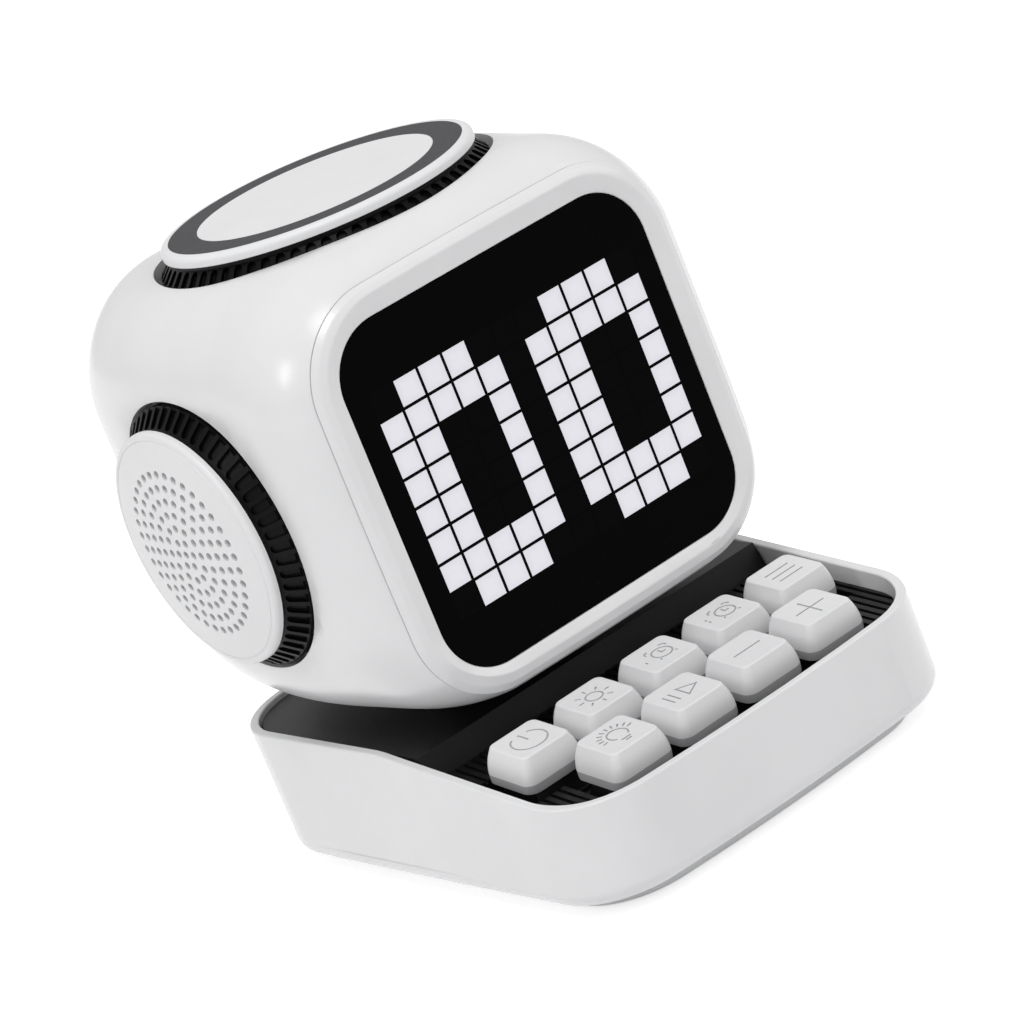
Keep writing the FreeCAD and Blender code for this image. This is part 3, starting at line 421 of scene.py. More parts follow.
dash_drop = 0.7
dash_length = 0.5
cap_white = (0.80, 0.80, 0.807)
# the skirt is painted greyer: painted shade on its upright face low among the keys
skirt_shade_grey = (0.42, 0.42, 0.43)
# the sign's grooves are painted grey: painted shade in the narrow grooves of a white cap
groove_shade_grey = (0.52, 0.52, 0.53)


def loop(width, length, corner, shift, height):
    """Points of a rounded rectangle at a height, anticlockwise from above."""
    points = []
    for quarter, (to_x, to_y) in enumerate(((1, 1), (-1, 1), (-1, -1), (1, -1))):
        centre_x = to_x * (width / 2 - corner)
        centre_y = to_y * (length / 2 - corner)
        for step in range(corner_steps + 1):
            angle = math.pi / 2 * (quarter + step / corner_steps)
            points.append((centre_x + corner * math.cos(angle),
                           shift + centre_y + corner * math.sin(angle), height))
    return points


def stacked(loops):
    """A closed mesh through a stack of loops, capped at both ends."""
    count = len(loops[0])
    faces = [tuple(reversed(range(count)))]
    for level in range(len(loops) - 1):
        for index in range(count):
            after = (index + 1) % count
            faces.append((level * count + index, level * count + after,
                          (level + 1) * count + after, (level + 1) * count + index))
    faces.append(tuple((len(loops) - 1) * count + index for index in range(count)))
    return [point for ring in loops for point in ring], faces


def cap_loops():
    """The outside from the inner roof's edge round the skirt's foot up to the dish."""
    inner = cap_base - 2 * cap_wall
    run = [loop(cap_top[0] - cap_wall, cap_top[1] - cap_wall, cap_inner_corner, cap_shift,
                cap_high - cap_roof),
           loop(inner, inner, cap_inner_corner, 0, cap_low)]
    slope_top = cap_high - cap_rounding
    full_top = (cap_top[0] + cap_rounding, cap_top[1] + cap_rounding)
    skirt_share = cap_skirt / (slope_top - cap_low)
    foot = cap_base - 2 * cap_foot_inset
    run.append(loop(foot, foot, cap_corner - cap_foot_inset, 0, cap_low))
    for share in (*skirt_shares, skirt_share, skirt_share + skirt_line, *slope_shares):
        bulge = 2 * cap_bulge * 4 * share * (1 - share)
        run.append(loop(cap_base + (full_top[0] - cap_base) * share + bulge,
                        cap_base + (full_top[1] - cap_base) * share + bulge,
                        cap_corner + (cap_top_corner - cap_corner) * share, cap_shift * share,
                        cap_low + (slope_top - cap_low) * share))
    for step in range(1, brow_steps + 1):
        angle = math.pi / 2 * step / brow_steps
        inset = cap_rounding * (0.5 - math.cos(angle))
        run.append(loop(cap_top[0] - 2 * inset, cap_top[1] - 2 * inset, cap_top_corner - inset / 2,
                        cap_shift, slope_top + cap_rounding * math.sin(angle)))
    for inset, share in dish_rings:
        run.append(loop(cap_top[0] - 2 * inset, cap_top[1] - 2 * inset, cap_top_corner - inset / 4,
                        cap_shift, cap_high - dish_depth * share))
    return run


def curve(x, y, radius, start, end):
    """Points of an arc between two angles in degrees, or of a whole circle."""
    steps = max(4, round(abs(end - start) / arc_step))
    angles = [math.radians(start + (end - start) * step / steps) for step in range(steps + 1)]
    points = [(x + radius * math.cos(angle), y + radius * math.sin(angle)) for angle in angles]
    return (points[:-1], True) if end - start == 360 else (points, False)


def line(*points):
    """An open path straight from point to point."""
    return points, False


def rays_round(x, y, near, far, angles):
    """Short lines that point away from a centre, between two distances from it."""
    ways = [(math.cos(math.radians(angle)), math.sin(math.radians(angle))) for angle in angles]
    return [line(*[(x + reach * to_x, y + reach * to_y) for reach in (near, far)])
            for to_x, to_y in ways]


def alarm_sign(dashes):
    """A bell clock on the right and one or two dashes on the left."""
    paths = [curve(dial_x, 0, dial_radius, 0, 360), line((dial_x, 0.95), (dial_x, 0), (1.3, 0))]
    paths += rays_round(dial_x, 0, 1.85, 2.3, (228, 312))
    for way in (-1, 1):
        lean = 90 - way * 45
        paths.append(curve(dial_x + way * bell_x, bell_y, bell_radius, lean - bell_arc,
                           lean + bell_arc))
    lows = [dash_step * row - dash_drop for row in range(dashes)]
    return paths + [line((dash_x, low), (dash_x, low + dash_length)) for low in lows]


signs = {
    "power": [curve(0, -0.2, 2.6, 120, 420), line((0, 0), (0, 2.4))],
    "brightness": [curve(0, 0, 1.25, 0, 360)] + rays_round(0, 0, 1.85, 2.7, range(0, 360, 45)),
    "alarm_one": alarm_sign(1),
    "alarm_two": alarm_sign(2),
    "menu": [line((-2.2, row), (2.2, row)) for row in (-1.6, 0, 1.6)],
    "light": [curve(0.2, 0.1, 1.5, -50, 230), line((-0.6, -1.75), (1.0, -1.75)),
              line((-0.3, -2.35), (0.7, -2.35)), *rays_round(0.2, 0.1, 2.1, 2.95, range(10, 200, 20))],
    "play": [line((-2.5, -1.4), (-2.5, 1.4)), line((-1.5, -1.4), (-1.5, 1.4)),
             (((0, -1.5), (2.5, 0), (0, 1.5)), True)],
    "minus": [line((-2.4, 0), (2.4, 0))],
    "plus": [line((-2.6, 0), (2.6, 0)), line((0, -2.6), (0, 2.6))],
}


def stroke_solid(path, closed, low, high):
    """The cutter of one groove: a band of even width along a path, from low to high."""
    count = len(path)
    points, faces = [], []
    for index, here in enumerate(map(Vector, path)):
        before = Vector(path[index - 1]) if closed or index else here
        after = Vector(path[(index + 1) % count]) if closed or index < count - 1 else here
        ways = [way.normalized() for way in (here - before, after - here) if way.length > 0]
        along = sum(ways, Vector((0, 0))).normalized()
        side = Vector((-along.y, along.x)) * (sign_width / 2 / along.dot(ways[0]))
        for corner in (here - side, here + side):
            points += [(corner.x * sign_size, corner.y * sign_size + cap_shift, height)
                       for height in (low, high)]
    for index in range(count if closed else count - 1):
        right, after = 4 * index, 4 * ((index + 1) % count)
        faces += [(right, right + 2, after + 2, after),
                  (right + 1, after + 1, after + 3, right + 3),
                  (right + 2, right + 3, after + 3, after + 2), (right, after, after + 1,
                                                                 right + 1)]
    if not closed:
        last = 4 * (count - 1)
        faces += [(0, 1, 3, 2), (last, last + 2, last + 3, last + 1)]
    return points, faces


key_rows = ((("power", "brightness", "alarm_one", "alarm_two", "menu"), 1),
            (("light", "play", "minus", "plus"), -1))
cap_plastic = moulded("white_cap_plastic", cap_white, rough=0.38, grain=2100.0, bump=0.16)
painted_skirt_shade = moulded("skirt_painted_shade_plastic", skirt_shade_grey, rough=0.45, grain=2100.0, bump=0.16)
sign_groove_shade = moulded("sunk_sign_painted_shade", groove_shade_grey, rough=0.6, grain=2400.0, bump=0.2)
cap_finishes = (cap_plastic, sign_groove_shade, painted_skirt_shade)
on_deck = Matrix.Translation(deck_origin * mm) @ Matrix.Rotation(deck_tilt, 4,
                                                                 "X") @ Matrix.Scale(mm, 4)


def raw_mesh(name, points, faces, place, finishes=()):
    """A mesh from points and faces, moved to its place."""
    mesh = bpy.data.meshes.new(name)
    mesh.from_pydata([place @ Vector(point) for point in points], [], faces)
    mesh.validate()
    for finish in finishes:
        mesh.materials.append(finish)
    return mesh


def cap_mesh(name, place):
    """One cap with its sign cut into the dished top."""
    mesh = raw_mesh("cap_" + name, *stacked(cap_loops()), place, cap_finishes)
    per_ring = 4 * (corner_steps + 1)
    # The skirt's rings get the painted shade.
    for polygon in mesh.polygons:
        if (polygon.index - 1) // per_ring in skirt_rings:
            polygon.material_index = cap_finishes.index(painted_skirt_shade)
    points, faces = [], []
    for path, closed in signs[name]:
        corners, sides = stroke_solid(path, closed, cap_high - dish_depth - sign_depth,
                                      cap_high + 1)
        faces += [tuple(corner + len(points) for corner in side) for side in sides]
        points += corners
    cutter_mesh = raw_mesh("sign_" + name, points, faces, place, cap_finishes)
    # The cutter's faces carry the painted groove shade into the cut.
    for polygon in cutter_mesh.polygons:
        polygon.material_index = cap_finishes.index(sign_groove_shade)
    blank = bpy.data.objects.new("blank_" + name, mesh)
    cutter = bpy.data.objects.new("cutter_" + name, cutter_mesh)
    for part in (blank, cutter):
        bpy.context.scene.collection.objects.link(part)
    cut = blank.modifiers.new("sunk_sign", "BOOLEAN")
    cut.object = cutter
    cut.solver = "EXACT"
    cut.use_self = True
    cut.material_mode = "TRANSFER"
    bpy.context.view_layer.update()
    graph = bpy.context.evaluated_depsgraph_get()
    finished = bpy.data.meshes.new_from_object(blank.evaluated_get(graph), depsgraph=graph)
    for part in (blank, cutter):
        bpy.data.objects.remove(part)
    finished.name = "key_" + name
    smoothed(finished, cap_sharp_angle)
    return finished


for names, row in key_rows:
    for index, name in enumerate(names):
        across = (index - (len(names) - 1) / 2) * key_pitch
        place = on_deck @ Matrix.Translation((across, row * key_pitch / 2, 0))
        shown("key_" + name, cap_mesh(name, place), cap_plastic, name + "_key",
              ("key_cap_" + name,))


# Head: the rounded white cube, moulded in one piece open at the front, with a deep
# round pocket on each side and on top, and a separate back pressed into its back.
head_edge = 0.45
cover_edge = 0.3
slit_fold = 100.0
slit_start = 69.5
slit_facing = 0.15
slit_wall = 0.5
bezel_edge = 0.3
bezel_sharp_angle = 24
seam_y = -27.8
seam_width = 0.4
seam_share = 0.2
seam_slack = 0.01


def seam_opened(point):
    """Leaves a narrow gap between the bezel and the head it is pressed into."""
    if abs(point.y - seam_y) < seam_slack:
        point.y -= seam_width
    return point


def crisp_seam(place):
    """The edges along the seam are rounded less than the others."""
    at_seam = seam_y - seam_width - seam_slack < place.y < seam_y + seam_slack
    return seam_share if at_seam else 1.0


moulding("head_shell", "head", white_plastic, head_edge, steps=3, share=crisp_seam)


def slits_closed(work):
    """Closes two slits that the cover's hollow cuts in its lower corners.

    The mesh is parted along each slit, and both the outside and the hollow are filled
    there, the hollow a little farther in.
    """
    outline = [border for border in work.edges
               if border.calc_face_angle(0) > math.radians(slit_fold)
               and min(point.co.y for point in border.verts) > slit_start * mm]
    bmesh.ops.split_edges(work, edges=outline)
    open_borders = [border for border in work.edges if border.is_boundary]
    for side in (-1, 1):
        inward = Vector((-side, 0.0, 1.0)) * slit_wall * mm
        for outside in (True, False):
            brink = [border for border in open_borders if border.verts[0].co.x * side > 0
                     and (border.link_faces[0].normal.y > slit_facing) == outside]
            if not brink:
                continue
            if not outside:
                for point in {point for border in brink for point in border.verts}:
                    point.co += inward
            bmesh.ops.triangle_fill(work, edges=brink, use_beauty=True)
    bmesh.ops.recalc_face_normals(work, faces=work.faces)


moulding("rear_cover", "head_back", white_plastic, cover_edge, mend=slits_closed)
moulding("front_bezel", "bezel", white_plastic, bezel_edge, steps=3,
         angle=bezel_sharp_angle, reshape=seam_opened, share=crisp_seam)


# Screen: a smoked plastic lens, nearly black, set in the bezel, through which square
# lamps glow. The lit squares form two digits and the others are kept just visible by a
# faint painted glow. Behind it lie a diffusing sheet, the black grid between the lamps, and the lamps'
# board.
pixel_pitch = 6.782
pixel_side = 6.05
pixel_centre_z = 89.44
field_columns = 11
field_rows = 8
digit_step = 6
digit_right = 4.5
digit_shoulders = (0.5, 3.5)
digit_hollow = (1.5, 3.5)
last_row = 3
hollow_rows = 2
lens_black = (0.0004, 0.0004, 0.0005, 1)
lens_deep = (0.0008, 0.0008, 0.001, 1)
lens_gloss = 0.02
lens_edge = 0.1
square_glow = (0.79, 0.785, 0.83, 1)
square_rim = (0.72, 0.715, 0.77, 1)
# the unlit squares glow faintly: a painted glow that keeps them just visible
unlit_square_painted_glow = (0.0004, 0.0004, 0.0006, 1)
glow_core = 0.2
cloud_scale = 220.0
cloud_part = 0.2
lens_rough = (0.16, 0.24)
sheet_white = (0.75, 0.75, 0.76)
grid_black = (0.02, 0.02, 0.022)


def reckoner(tree):
    """Gives a function that adds a sum to a tree and returns its output."""
    def reckon(operation, *terms):
        return joined(tree, "ShaderNodeMath", terms, operation=operation).outputs[0]
    return reckon


def lens_finish():
    """Dark glass with squares that glow from behind, in the shape of two digits."""
    material, tree, shader = blank_material("smoked_lens")
    reckon = reckoner(tree)

    def near(value, middle, reach):
        return reckon("LESS_THAN", reckon("ABSOLUTE", reckon("SUBTRACT", value, middle)), reach)

    def between(value, low, high):
        return reckon("MULTIPLY", reckon("GREATER_THAN", value, low),
                      reckon("LESS_THAN", value, high))

    def mixed(share, low, high):
        return joined(tree, "ShaderNodeMix", {0: share, 6: low, 7: high},
                      data_type="RGBA").outputs[2]

    place = tree.nodes.new("ShaderNodeTexCoord")
    across, _, height = joined(tree, "ShaderNodeSeparateXYZ", (place.outputs["Object"],)).outputs
    column = reckon("MULTIPLY_ADD", across, 1 / (pixel_pitch * mm), field_columns / 2)
    row = reckon("MULTIPLY_ADD", height, -1 / (pixel_pitch * mm),
                 pixel_centre_z / pixel_pitch + field_rows / 2)
    from_middle = [reckon("ABSOLUTE", reckon("SUBTRACT", reckon("FRACT", part), 0.5))
                   for part in (column, row)]
    farthest = reckon("MAXIMUM", *from_middle)
    square = reckon("LESS_THAN", farthest, pixel_side / pixel_pitch / 2)
    in_field = reckon("MULTIPLY", near(column, field_columns / 2, field_columns / 2),
                      near(row, field_rows / 2, field_rows / 2))
    square = reckon("MULTIPLY", square, in_field)
    digit_column = reckon("FLOORED_MODULO", reckon("FLOOR", column), digit_step)
    from_waist = reckon("ABSOLUTE", reckon("SUBTRACT", reckon("FLOOR", row), (field_rows - 1) / 2))
    ends = reckon("MULTIPLY", reckon("GREATER_THAN", from_waist, last_row),
                  reckon("SUBTRACT", 1, between(digit_column, *digit_shoulders)))
    sides = reckon("MULTIPLY", reckon("LESS_THAN", from_waist, hollow_rows),
                   between(digit_column, *digit_hollow))
    lit = reckon("MULTIPLY", reckon("LESS_THAN", digit_column, digit_right),
                 reckon("SUBTRACT", 1, reckon("ADD", ends, sides)))
    cloud = joined(tree, "ShaderNodeTexNoise",
                   {"Vector": place.outputs["Object"], "Scale": cloud_scale}).outputs[0]
    edge = joined(tree, "ShaderNodeMapRange", {
        0: farthest, 1: glow_core, 2: pixel_side / pixel_pitch / 2, 3: 0, 4: 1}).outputs[0]
    edge = reckon("MULTIPLY_ADD", cloud, cloud_part, reckon("MULTIPLY", edge, 1 - cloud_part))
    shade = mixed(lit, unlit_square_painted_glow, mixed(edge, square_glow, square_rim))
    tree.links.new(mixed(square, (0, 0, 0, 1), shade), shader.inputs["Emission Color"])
    shader.inputs["Emission Strength"].default_value = 1.0
    dust = joined(tree, "ShaderNodeMapRange", {0: cloud, 3: lens_rough[0], 4: lens_rough[1]})
    tree.links.new(dust.outputs[0], shader.inputs["Roughness"])
    tree.links.new(mixed(cloud, lens_black, lens_deep), shader.inputs["Base Color"])
    shader.inputs["Specular IOR Level"].default_value = lens_gloss
    return material


moulding("screen_lens", "lens", lens_finish(), lens_edge)
dress(moulded("diffusing_sheet", sheet_white, rough=0.6, grain=1500.0), "diffuser_sheet")
dress(moulded("grid_black", grid_black, rough=0.6, grain=1500.0, spread=0.12), "light_grid")
dress(board_laminate, "led_board", "main_board")


# Collars: black rings that stand in the three round pockets. Upright slots with round
# upper ends are moulded side by side in their sloping outside, with thin ribs between.
groove_depth = 1.3
slot_steps = 6
slot_part = 0.66
slot_end = 0.93
brow_drop = 1.0
ring_weld = 0.002
collar_edge = 0.2
collar_bevel_angle = 35
collar_tone = (0.003, 0.003, 0.0035)
# a lighter tone for the narrow bevels on the collars' edges: a painted highlight where the rib edges
# would catch the light
painted_highlight_tone = (0.17, 0.17, 0.175)
speaker_centres = {side: Vector((side * 49.6, 23.8, 90.25)) for side in (-1, 1)}
puck_centre = Vector((0, 23.8, 138.2))
collar_sizes = {
    "side": dict(foot=31.9, foot_height=6.4, neck=27.9, height=11.3, bore=25.6, ribs=58),
    "top": dict(foot=39.4, foot_height=4.0, neck=36.4, height=8.1, bore=30.0, ribs=66),
}


def collar_sector(foot, foot_height, neck, height, bore, ribs):
    """One slot of a collar, with half a rib on each side, made about Z."""
    half = math.pi / ribs
    brow = height - brow_drop
    slot_half = half * slot_part
    slope = math.hypot(foot - neck, brow - foot_height)
    round_rise = slot_half * (foot + neck) / 2 / slope
    straight_end = slot_end - round_rise
    points, faces = [], []

    def add(angle, radius, rise):
        points.append((radius * math.sin(angle), radius * math.cos(angle), rise))
        return len(points) - 1

    def on_slope(angle, share, depth=0):
        return add(angle, foot + (neck - foot) * share - depth,
                   foot_height + (brow - foot_height) * share)

    edge, outer = [(slot_half, 0), (slot_half, straight_end)], [(half, 0), (half, straight_end)]
    for step in range(1, slot_steps + 1):
        angle = math.pi / 2 * step / slot_steps
        edge.append((slot_half * math.cos(angle), straight_end + round_rise * math.sin(angle)))
        if step <= slot_steps - 2:
            outer.append((half, straight_end + (1 - straight_end) * step / (slot_steps - 2)))
        else:
            outer.append((half * (slot_steps - step) / 2, 1))
    sides = []
    for way in (-1, 1):
        brink = [on_slope(way * a, s) for a, s in edge]
        floor_line = [on_slope(way * a, s, groove_depth) for a, s in edge]
        rim = [on_slope(way * a, s) for a, s in outer]
        for k in range(len(edge) - 1):
            for quad in ((brink[k], rim[k], rim[k + 1], brink[k + 1]),
                         (floor_line[k], brink[k], brink[k + 1], floor_line[k + 1])):
                faces.append(quad if way == 1 else tuple(reversed(quad)))
        sides.append((brink, floor_line, rim))
    (left_brink, left_floor, left_rim), (right_brink, right_floor, right_rim) = sides
    for k in range(len(edge) - 1):
        faces.append((left_floor[k], right_floor[k], right_floor[k + 1], left_floor[k + 1]))
    faces.append((left_brink[0], right_brink[0], right_floor[0], left_floor[0]))
    turns = (-half, -slot_half, slot_half, half)
    top = [left_rim[0], left_brink[0], right_brink[0], right_rim[0]]
    low = [add(a, foot, 0) for a in turns]
    low_bore = [add(a, bore, 0) for a in turns]
    high_bore = [add(a, bore, height) for a in turns]
    brow_run = [index for index, share in enumerate(outer) if share[1] == 1]
    crest = [left_rim[k] for k in brow_run] + [right_rim[k] for k in reversed(brow_run[:-1])]
    crest_turns = [-outer[k][0] for k in brow_run] + [outer[k][0] for k in reversed(brow_run[:-1])]
    high = [add(a, neck, height) for a in crest_turns]
    for k in range(3):
        faces.append((top[k + 1], top[k], low[k], low[k + 1]))
        faces.append((low[k + 1], low[k], low_bore[k], low_bore[k + 1]))
        faces.append((low_bore[k + 1], low_bore[k], high_bore[k], high_bore[k + 1]))
    for k in range(len(crest) - 1):
        faces.append((high[k + 1], high[k], crest[k], crest[k + 1]))
    faces.append(tuple(high_bore + list(reversed(high))))
    return points, faces


def growing_tree(name, **inputs):
    """An empty tree that takes geometry and named inputs; returns it and what it is given."""
    tree = bpy.data.node_groups.new(name, "GeometryNodeTree")
    for title, kind in {"Geometry": "Geometry", **inputs, "Finish": "Material"}.items():
        tree.interface.new_socket(title, in_out="INPUT", socket_type="NodeSocket" + kind)
    tree.interface.new_socket("Geometry", in_out="OUTPUT", socket_type="NodeSocketGeometry")
    return tree, tree.nodes.new("NodeGroupInput").outputs


def tree_ended(tree, given, geometry):
    """Ends a tree: the copies are made real and get the finish."""
    real = joined(tree, "GeometryNodeRealizeInstances", (geometry,))
    finished = joined(tree, "GeometryNodeSetMaterial", {
        "Geometry": real.outputs[0], "Material": given["Finish"]})
    joined(tree, "NodeGroupOutput", (finished.outputs[0],))
    return tree


def round_axis_tree():
    """Repeats the geometry given to it round the Z axis."""
    tree, given = growing_tree("round_the_axis", Count="Int")
    reckon = reckoner(tree)
    sites = joined(tree, "GeometryNodePoints", {"Count": given["Count"]})
    index = tree.nodes.new("GeometryNodeInputIndex").outputs[0]
    angle = reckon("MULTIPLY", reckon("DIVIDE", index, given["Count"]), 2 * math.pi)
    euler = joined(tree, "ShaderNodeCombineXYZ", {"Z": angle})
    turned = joined(tree, "FunctionNodeEulerToRotation", (euler.outputs[0],))
    copies = joined(tree, "GeometryNodeInstanceOnPoints", {
        "Points": sites.outputs[0], "Instance": given["Geometry"], "Rotation": turned.outputs[0]})
    return tree_ended(tree, given, copies.outputs[0])


def grown(name, mesh, tree, values, place):
    """Runs a tree on a mesh, welds the result and lays it in its place."""
    seed = bpy.data.objects.new(name + "_seed", mesh)
    bpy.context.scene.collection.objects.link(seed)
    modifier = seed.modifiers.new(tree.name, "NODES")
    modifier.node_group = tree
    for item in tree.interface.items_tree:
        if item.item_type == "SOCKET" and item.in_out == "INPUT" and item.name in values:
            modifier[item.identifier] = values[item.name]
    bpy.context.view_layer.update()
    graph = bpy.context.evaluated_depsgraph_get()
    result = bpy.data.meshes.new_from_object(seed.evaluated_get(graph), depsgraph=graph)
    bpy.data.objects.remove(seed)
    result.name = name
    work = bmesh.new()
    work.from_mesh(result)
    bmesh.ops.remove_doubles(work, verts=work.verts, dist=ring_weld)
    bmesh.ops.recalc_face_normals(work, faces=work.faces)
    work.to_mesh(result)
    work.free()
    result.transform(place)
    smoothed(result)
    return result


def standing(centre, axis):
    """Stands a shape made about Z, in millimetres, on another axis at a centre."""
    turn = Vector((0, 0, 1)).rotation_difference(Vector(axis)).to_matrix().to_4x4()
    return Matrix.Translation(centre * mm) @ turn @ Matrix.Scale(mm, 4)


round_the_axis = round_axis_tree()
collar_black = moulded("collar_black_plastic", collar_tone, rough=0.38, grain=1500.0, spread=0.12,
                       bump=0.2, spec=0.12)
collar_painted_highlight = moulded("collar_painted_edge_highlight", painted_highlight_tone, rough=0.3, grain=1500.0, spread=0.12,
                       bump=0.1)
for node, kind, centre, axis in (("left_collar", "side", speaker_centres[-1], (-1, 0, 0)),
                                 ("right_collar", "side", speaker_centres[1], (1, 0, 0)),
                                 ("puck_collar", "top", puck_centre, (0, 0, 1))):
    sizes = collar_sizes[kind]
    sector = raw_mesh("sector", *collar_sector(**sizes), Matrix.Identity(4))
    mesh = grown(node + "_ring", sector, round_the_axis,
                 {"Count": sizes["ribs"], "Finish": collar_black}, standing(centre, axis))
    # The narrow bevels round the collar's edges get the painted highlight.
    mesh.materials.append(collar_painted_highlight)
    collar = shown("slotted_" + node, mesh, collar_black, "root", (node,))
    bevel = collar.modifiers.new("painted_highlight_edges", "BEVEL")
    bevel.width = collar_edge * mm
    bevel.segments = 1
    bevel.limit_method = "ANGLE"
    bevel.angle_limit = math.radians(collar_bevel_angle)
    bevel.material = 1


# Speaker grilles: white domed caps pressed on the side collars, with a fine line near
# the rim and six rings of small round holes punched round a middle one.
grille_radius = 28.5
grille_base = 11.3
grille_rise = 4.0
grille_sphere = 174.0
grille_wall = 1.6
grille_edge = 1.1
grille_edge_steps = 5
rim_radius = 27.4
grille_inner_radius = 26.4
grille_seat = 0.3
grille_sides = 72
plain_radii = (22.6, 24.6, 26.5)
line_radii = (26.62, 26.88)
line_end = 27.0
line_depth = 0.16
punch_depth = 20.0
hole_pitch = 3.19
hole_diameter = 1.95
hole_rings = 6
hole_sides = 14


def turned_mesh(name, profile, sides):
    """A closed line of (radius, height) points turned about Z."""
    points, faces, rows = [], [], []
    for radius, height in profile:
        if radius == 0:
            rows.append([len(points)] * sides)
            points.append((0, 0, height))
            continue
        rows.append(list(range(len(points), len(points) + sides)))
        angles = [2 * math.pi * k / sides for k in range(sides)]
        points += [(radius * math.sin(angle), radius * math.cos(angle), height)
                   for angle in angles]
    for row, after in zip(rows, rows[1:] + rows[:1]):
        for k in range(sides):
            corners = [row[k], row[(k + 1) % sides], after[(k + 1) % sides], after[k]]
            corners = [c for place, c in enumerate(corners) if c != corners[place - 1]]
            if len(corners) > 2:
                faces.append(tuple(corners))
    return raw_mesh(name, points, faces, Matrix.Identity(4))


def crown_height(radius):
    """How high the dome stands over the grille's foot at a radius."""
    return grille_rise - grille_sphere + math.sqrt(grille_sphere ** 2 - radius ** 2)


def crown_mesh():
    """The domed cap before its holes are punched."""
    radii = [(k + 0.5) * hole_pitch for k in range(hole_rings + 1)] + list(plain_radii)
    profile = [(0, crown_height(0))] + [(radius, crown_height(radius)) for radius in radii]
    profile += [(radius, crown_height(radius) - line_depth) for radius in line_radii]
    profile.append((line_end, crown_height(line_end)))
    rim_height = crown_height(rim_radius)
    for step in range(grille_edge_steps + 1):
        angle = math.pi / 2 * step / grille_edge_steps
        profile.append((grille_radius - grille_edge + grille_edge * math.sin(angle),
                        rim_height - grille_edge + grille_edge * math.cos(angle)))
    profile += [(grille_radius, 0), (grille_inner_radius, 0), (grille_inner_radius, grille_seat)]
    profile += [(radius, crown_height(radius) - grille_wall) for radius in reversed(radii[:-1])]
    profile.append((0, crown_height(0) - grille_wall))
    return turned_mesh("crown", profile, grille_sides)


def punched_tree():
    """Punches rings of round holes through the geometry given to it.

    There is one hole in the middle and each ring has six more than the last, so hole k
    lies in ring (sqrt(12 k + 9) - 3) / 6, rounded up.
    """
    tree, given = growing_tree("punched_rings", Rings="Int", Pitch="Float", Diameter="Float",
                               Sides="Int")
    reckon = reckoner(tree)
    rings = given["Rings"]
    count = reckon("MULTIPLY_ADD", reckon("MULTIPLY", rings, reckon("ADD", rings, 1)), 3, 1)
    sites = joined(tree, "GeometryNodePoints", {"Count": count})
    index = tree.nodes.new("GeometryNodeInputIndex").outputs[0]
    root = reckon("SQRT", reckon("MULTIPLY_ADD", index, 12, 9))
    ring = reckon("CEIL",
                  reckon("SUBTRACT", reckon("DIVIDE", reckon("SUBTRACT", root, 3), 6), 0.0005))
    before = reckon("MULTIPLY_ADD", reckon("MULTIPLY", ring, reckon("SUBTRACT", ring, 1)), 3, 1)
    step = reckon("DIVIDE", reckon("SUBTRACT", index, before), reckon("MULTIPLY", ring, 6))
    angle = reckon("MULTIPLY", step, 2 * math.pi)
    reach = reckon("MULTIPLY", ring, given["Pitch"])
    spot = joined(tree, "ShaderNodeCombineXYZ", {
        "X": reckon("MULTIPLY", reach, reckon("SINE", angle)),
        "Y": reckon("MULTIPLY", reach, reckon("COSINE", angle))})
    spread = joined(tree, "GeometryNodeSetPosition", {
        "Geometry": sites.outputs[0], "Position": spot.outputs[0]})
    punch = joined(tree, "GeometryNodeMeshCylinder", {
        "Vertices": given["Sides"], "Radius": reckon("DIVIDE", given["Diameter"], 2),
        "Depth": punch_depth})
    punches = joined(tree, "GeometryNodeInstanceOnPoints", {
        "Points": spread.outputs[0], "Instance": punch.outputs["Mesh"]})
    solid_punches = joined(tree, "GeometryNodeRealizeInstances", (punches.outputs[0],))
    cut = joined(tree, "GeometryNodeMeshBoolean", {"Mesh 1": given["Geometry"]},
                 operation="DIFFERENCE")
    tree.links.new(solid_punches.outputs[0], cut.inputs["Mesh 2"])
    return tree_ended(tree, given, cut.outputs[0])


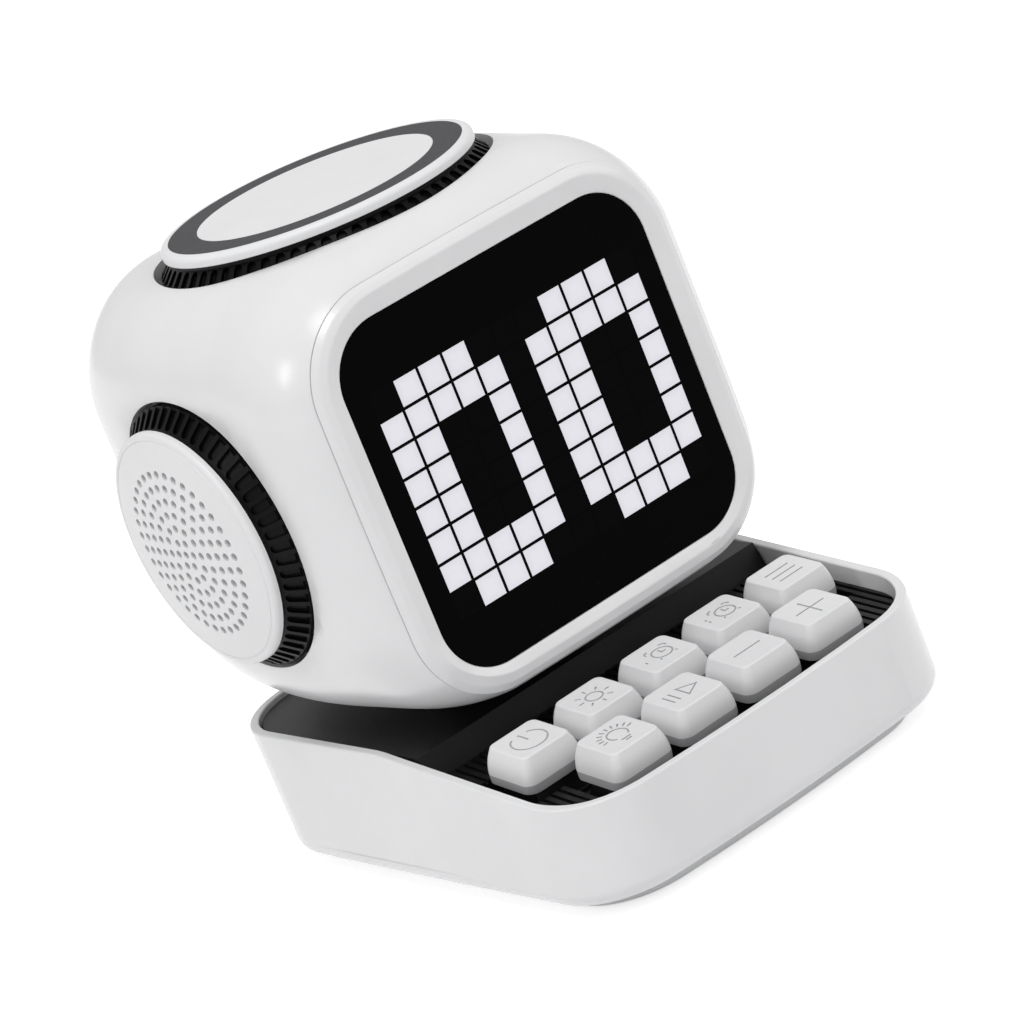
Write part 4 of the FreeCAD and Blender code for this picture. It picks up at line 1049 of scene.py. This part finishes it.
punched_rings = punched_tree()
grille_white = moulded("grille_white_plastic", shell_white, rough=0.36, grain=1900.0)
for side, word in ((-1, "left"), (1, "right")):
    base = speaker_centres[side] + Vector((side * grille_base, 0, 0))
    mesh = grown(word + "_speaker_cap", crown_mesh(), punched_rings,
                 {"Rings": hole_rings, "Pitch": hole_pitch, "Diameter": hole_diameter,
                  "Sides": hole_sides, "Finish": grille_white}, standing(base, (side, 0, 0)))
    shown(word + "_speaker_cap", mesh, grille_white, "root", (word + "_grille",))


# Loudspeakers behind the grilles: a pressed steel basket, a paper cone with its rolled
# surround, and a ring magnet.
cone_black = (0.03, 0.029, 0.028)
magnet_grey = (0.10, 0.10, 0.11)
paper = moulded("paper_cone_pulp", cone_black, rough=0.85, grain=1100.0, mottle=220.0, spread=0.25,
                bump=0.5, depth=0.1)
magnet = moulded("magnet_ferrite", magnet_grey, rough=0.5, grain=800.0, spread=0.15, bump=0.3)
for word in ("left", "right"):
    dress(sheet_steel, word + "_driver_basket")
    dress(paper, word + "_driver_cone")
    dress(magnet, word + "_driver_magnet")


# Charging puck: a white dish pressed on the top collar, with a dark rubber ring and a
# white middle let into it, and the coil on its ferrite plate stuck underneath.
ring_dark = (0.035, 0.035, 0.04)
copper_red = (0.72, 0.34, 0.18)
dish_edge = 0.2
puck_edge = 0.12
puck_tone = (0.82, 0.82, 0.83)
puck_white = moulded("puck_white_plastic", puck_tone, rough=0.4, grain=1900.0)
ring_rubber = moulded("puck_ring_rubber", ring_dark, rough=0.55, grain=1200.0, spread=0.12,
                      bump=0.3, depth=0.05)
copper_wire = moulded("coil_copper", copper_red, rough=0.35, grain=1500.0, spread=0.1, bump=0.3,
                      metal=1.0)
moulding("puck_base", "puck_dish", puck_white, dish_edge)
moulding("puck_ring", "puck_band", ring_rubber, puck_edge)
moulding("puck_disc", "puck_middle", puck_white, puck_edge)
dress(copper_wire, "charging_coil")
dress(magnet, "ferrite_plate")


# Charging socket and fastenings: the steel socket shell in the back, the screws of the
# main board and of the neck, and the nut that holds the neck inside the head.
dress(sheet_steel, "usb_socket", "board_screws", "neck_screws", "neck_nut")
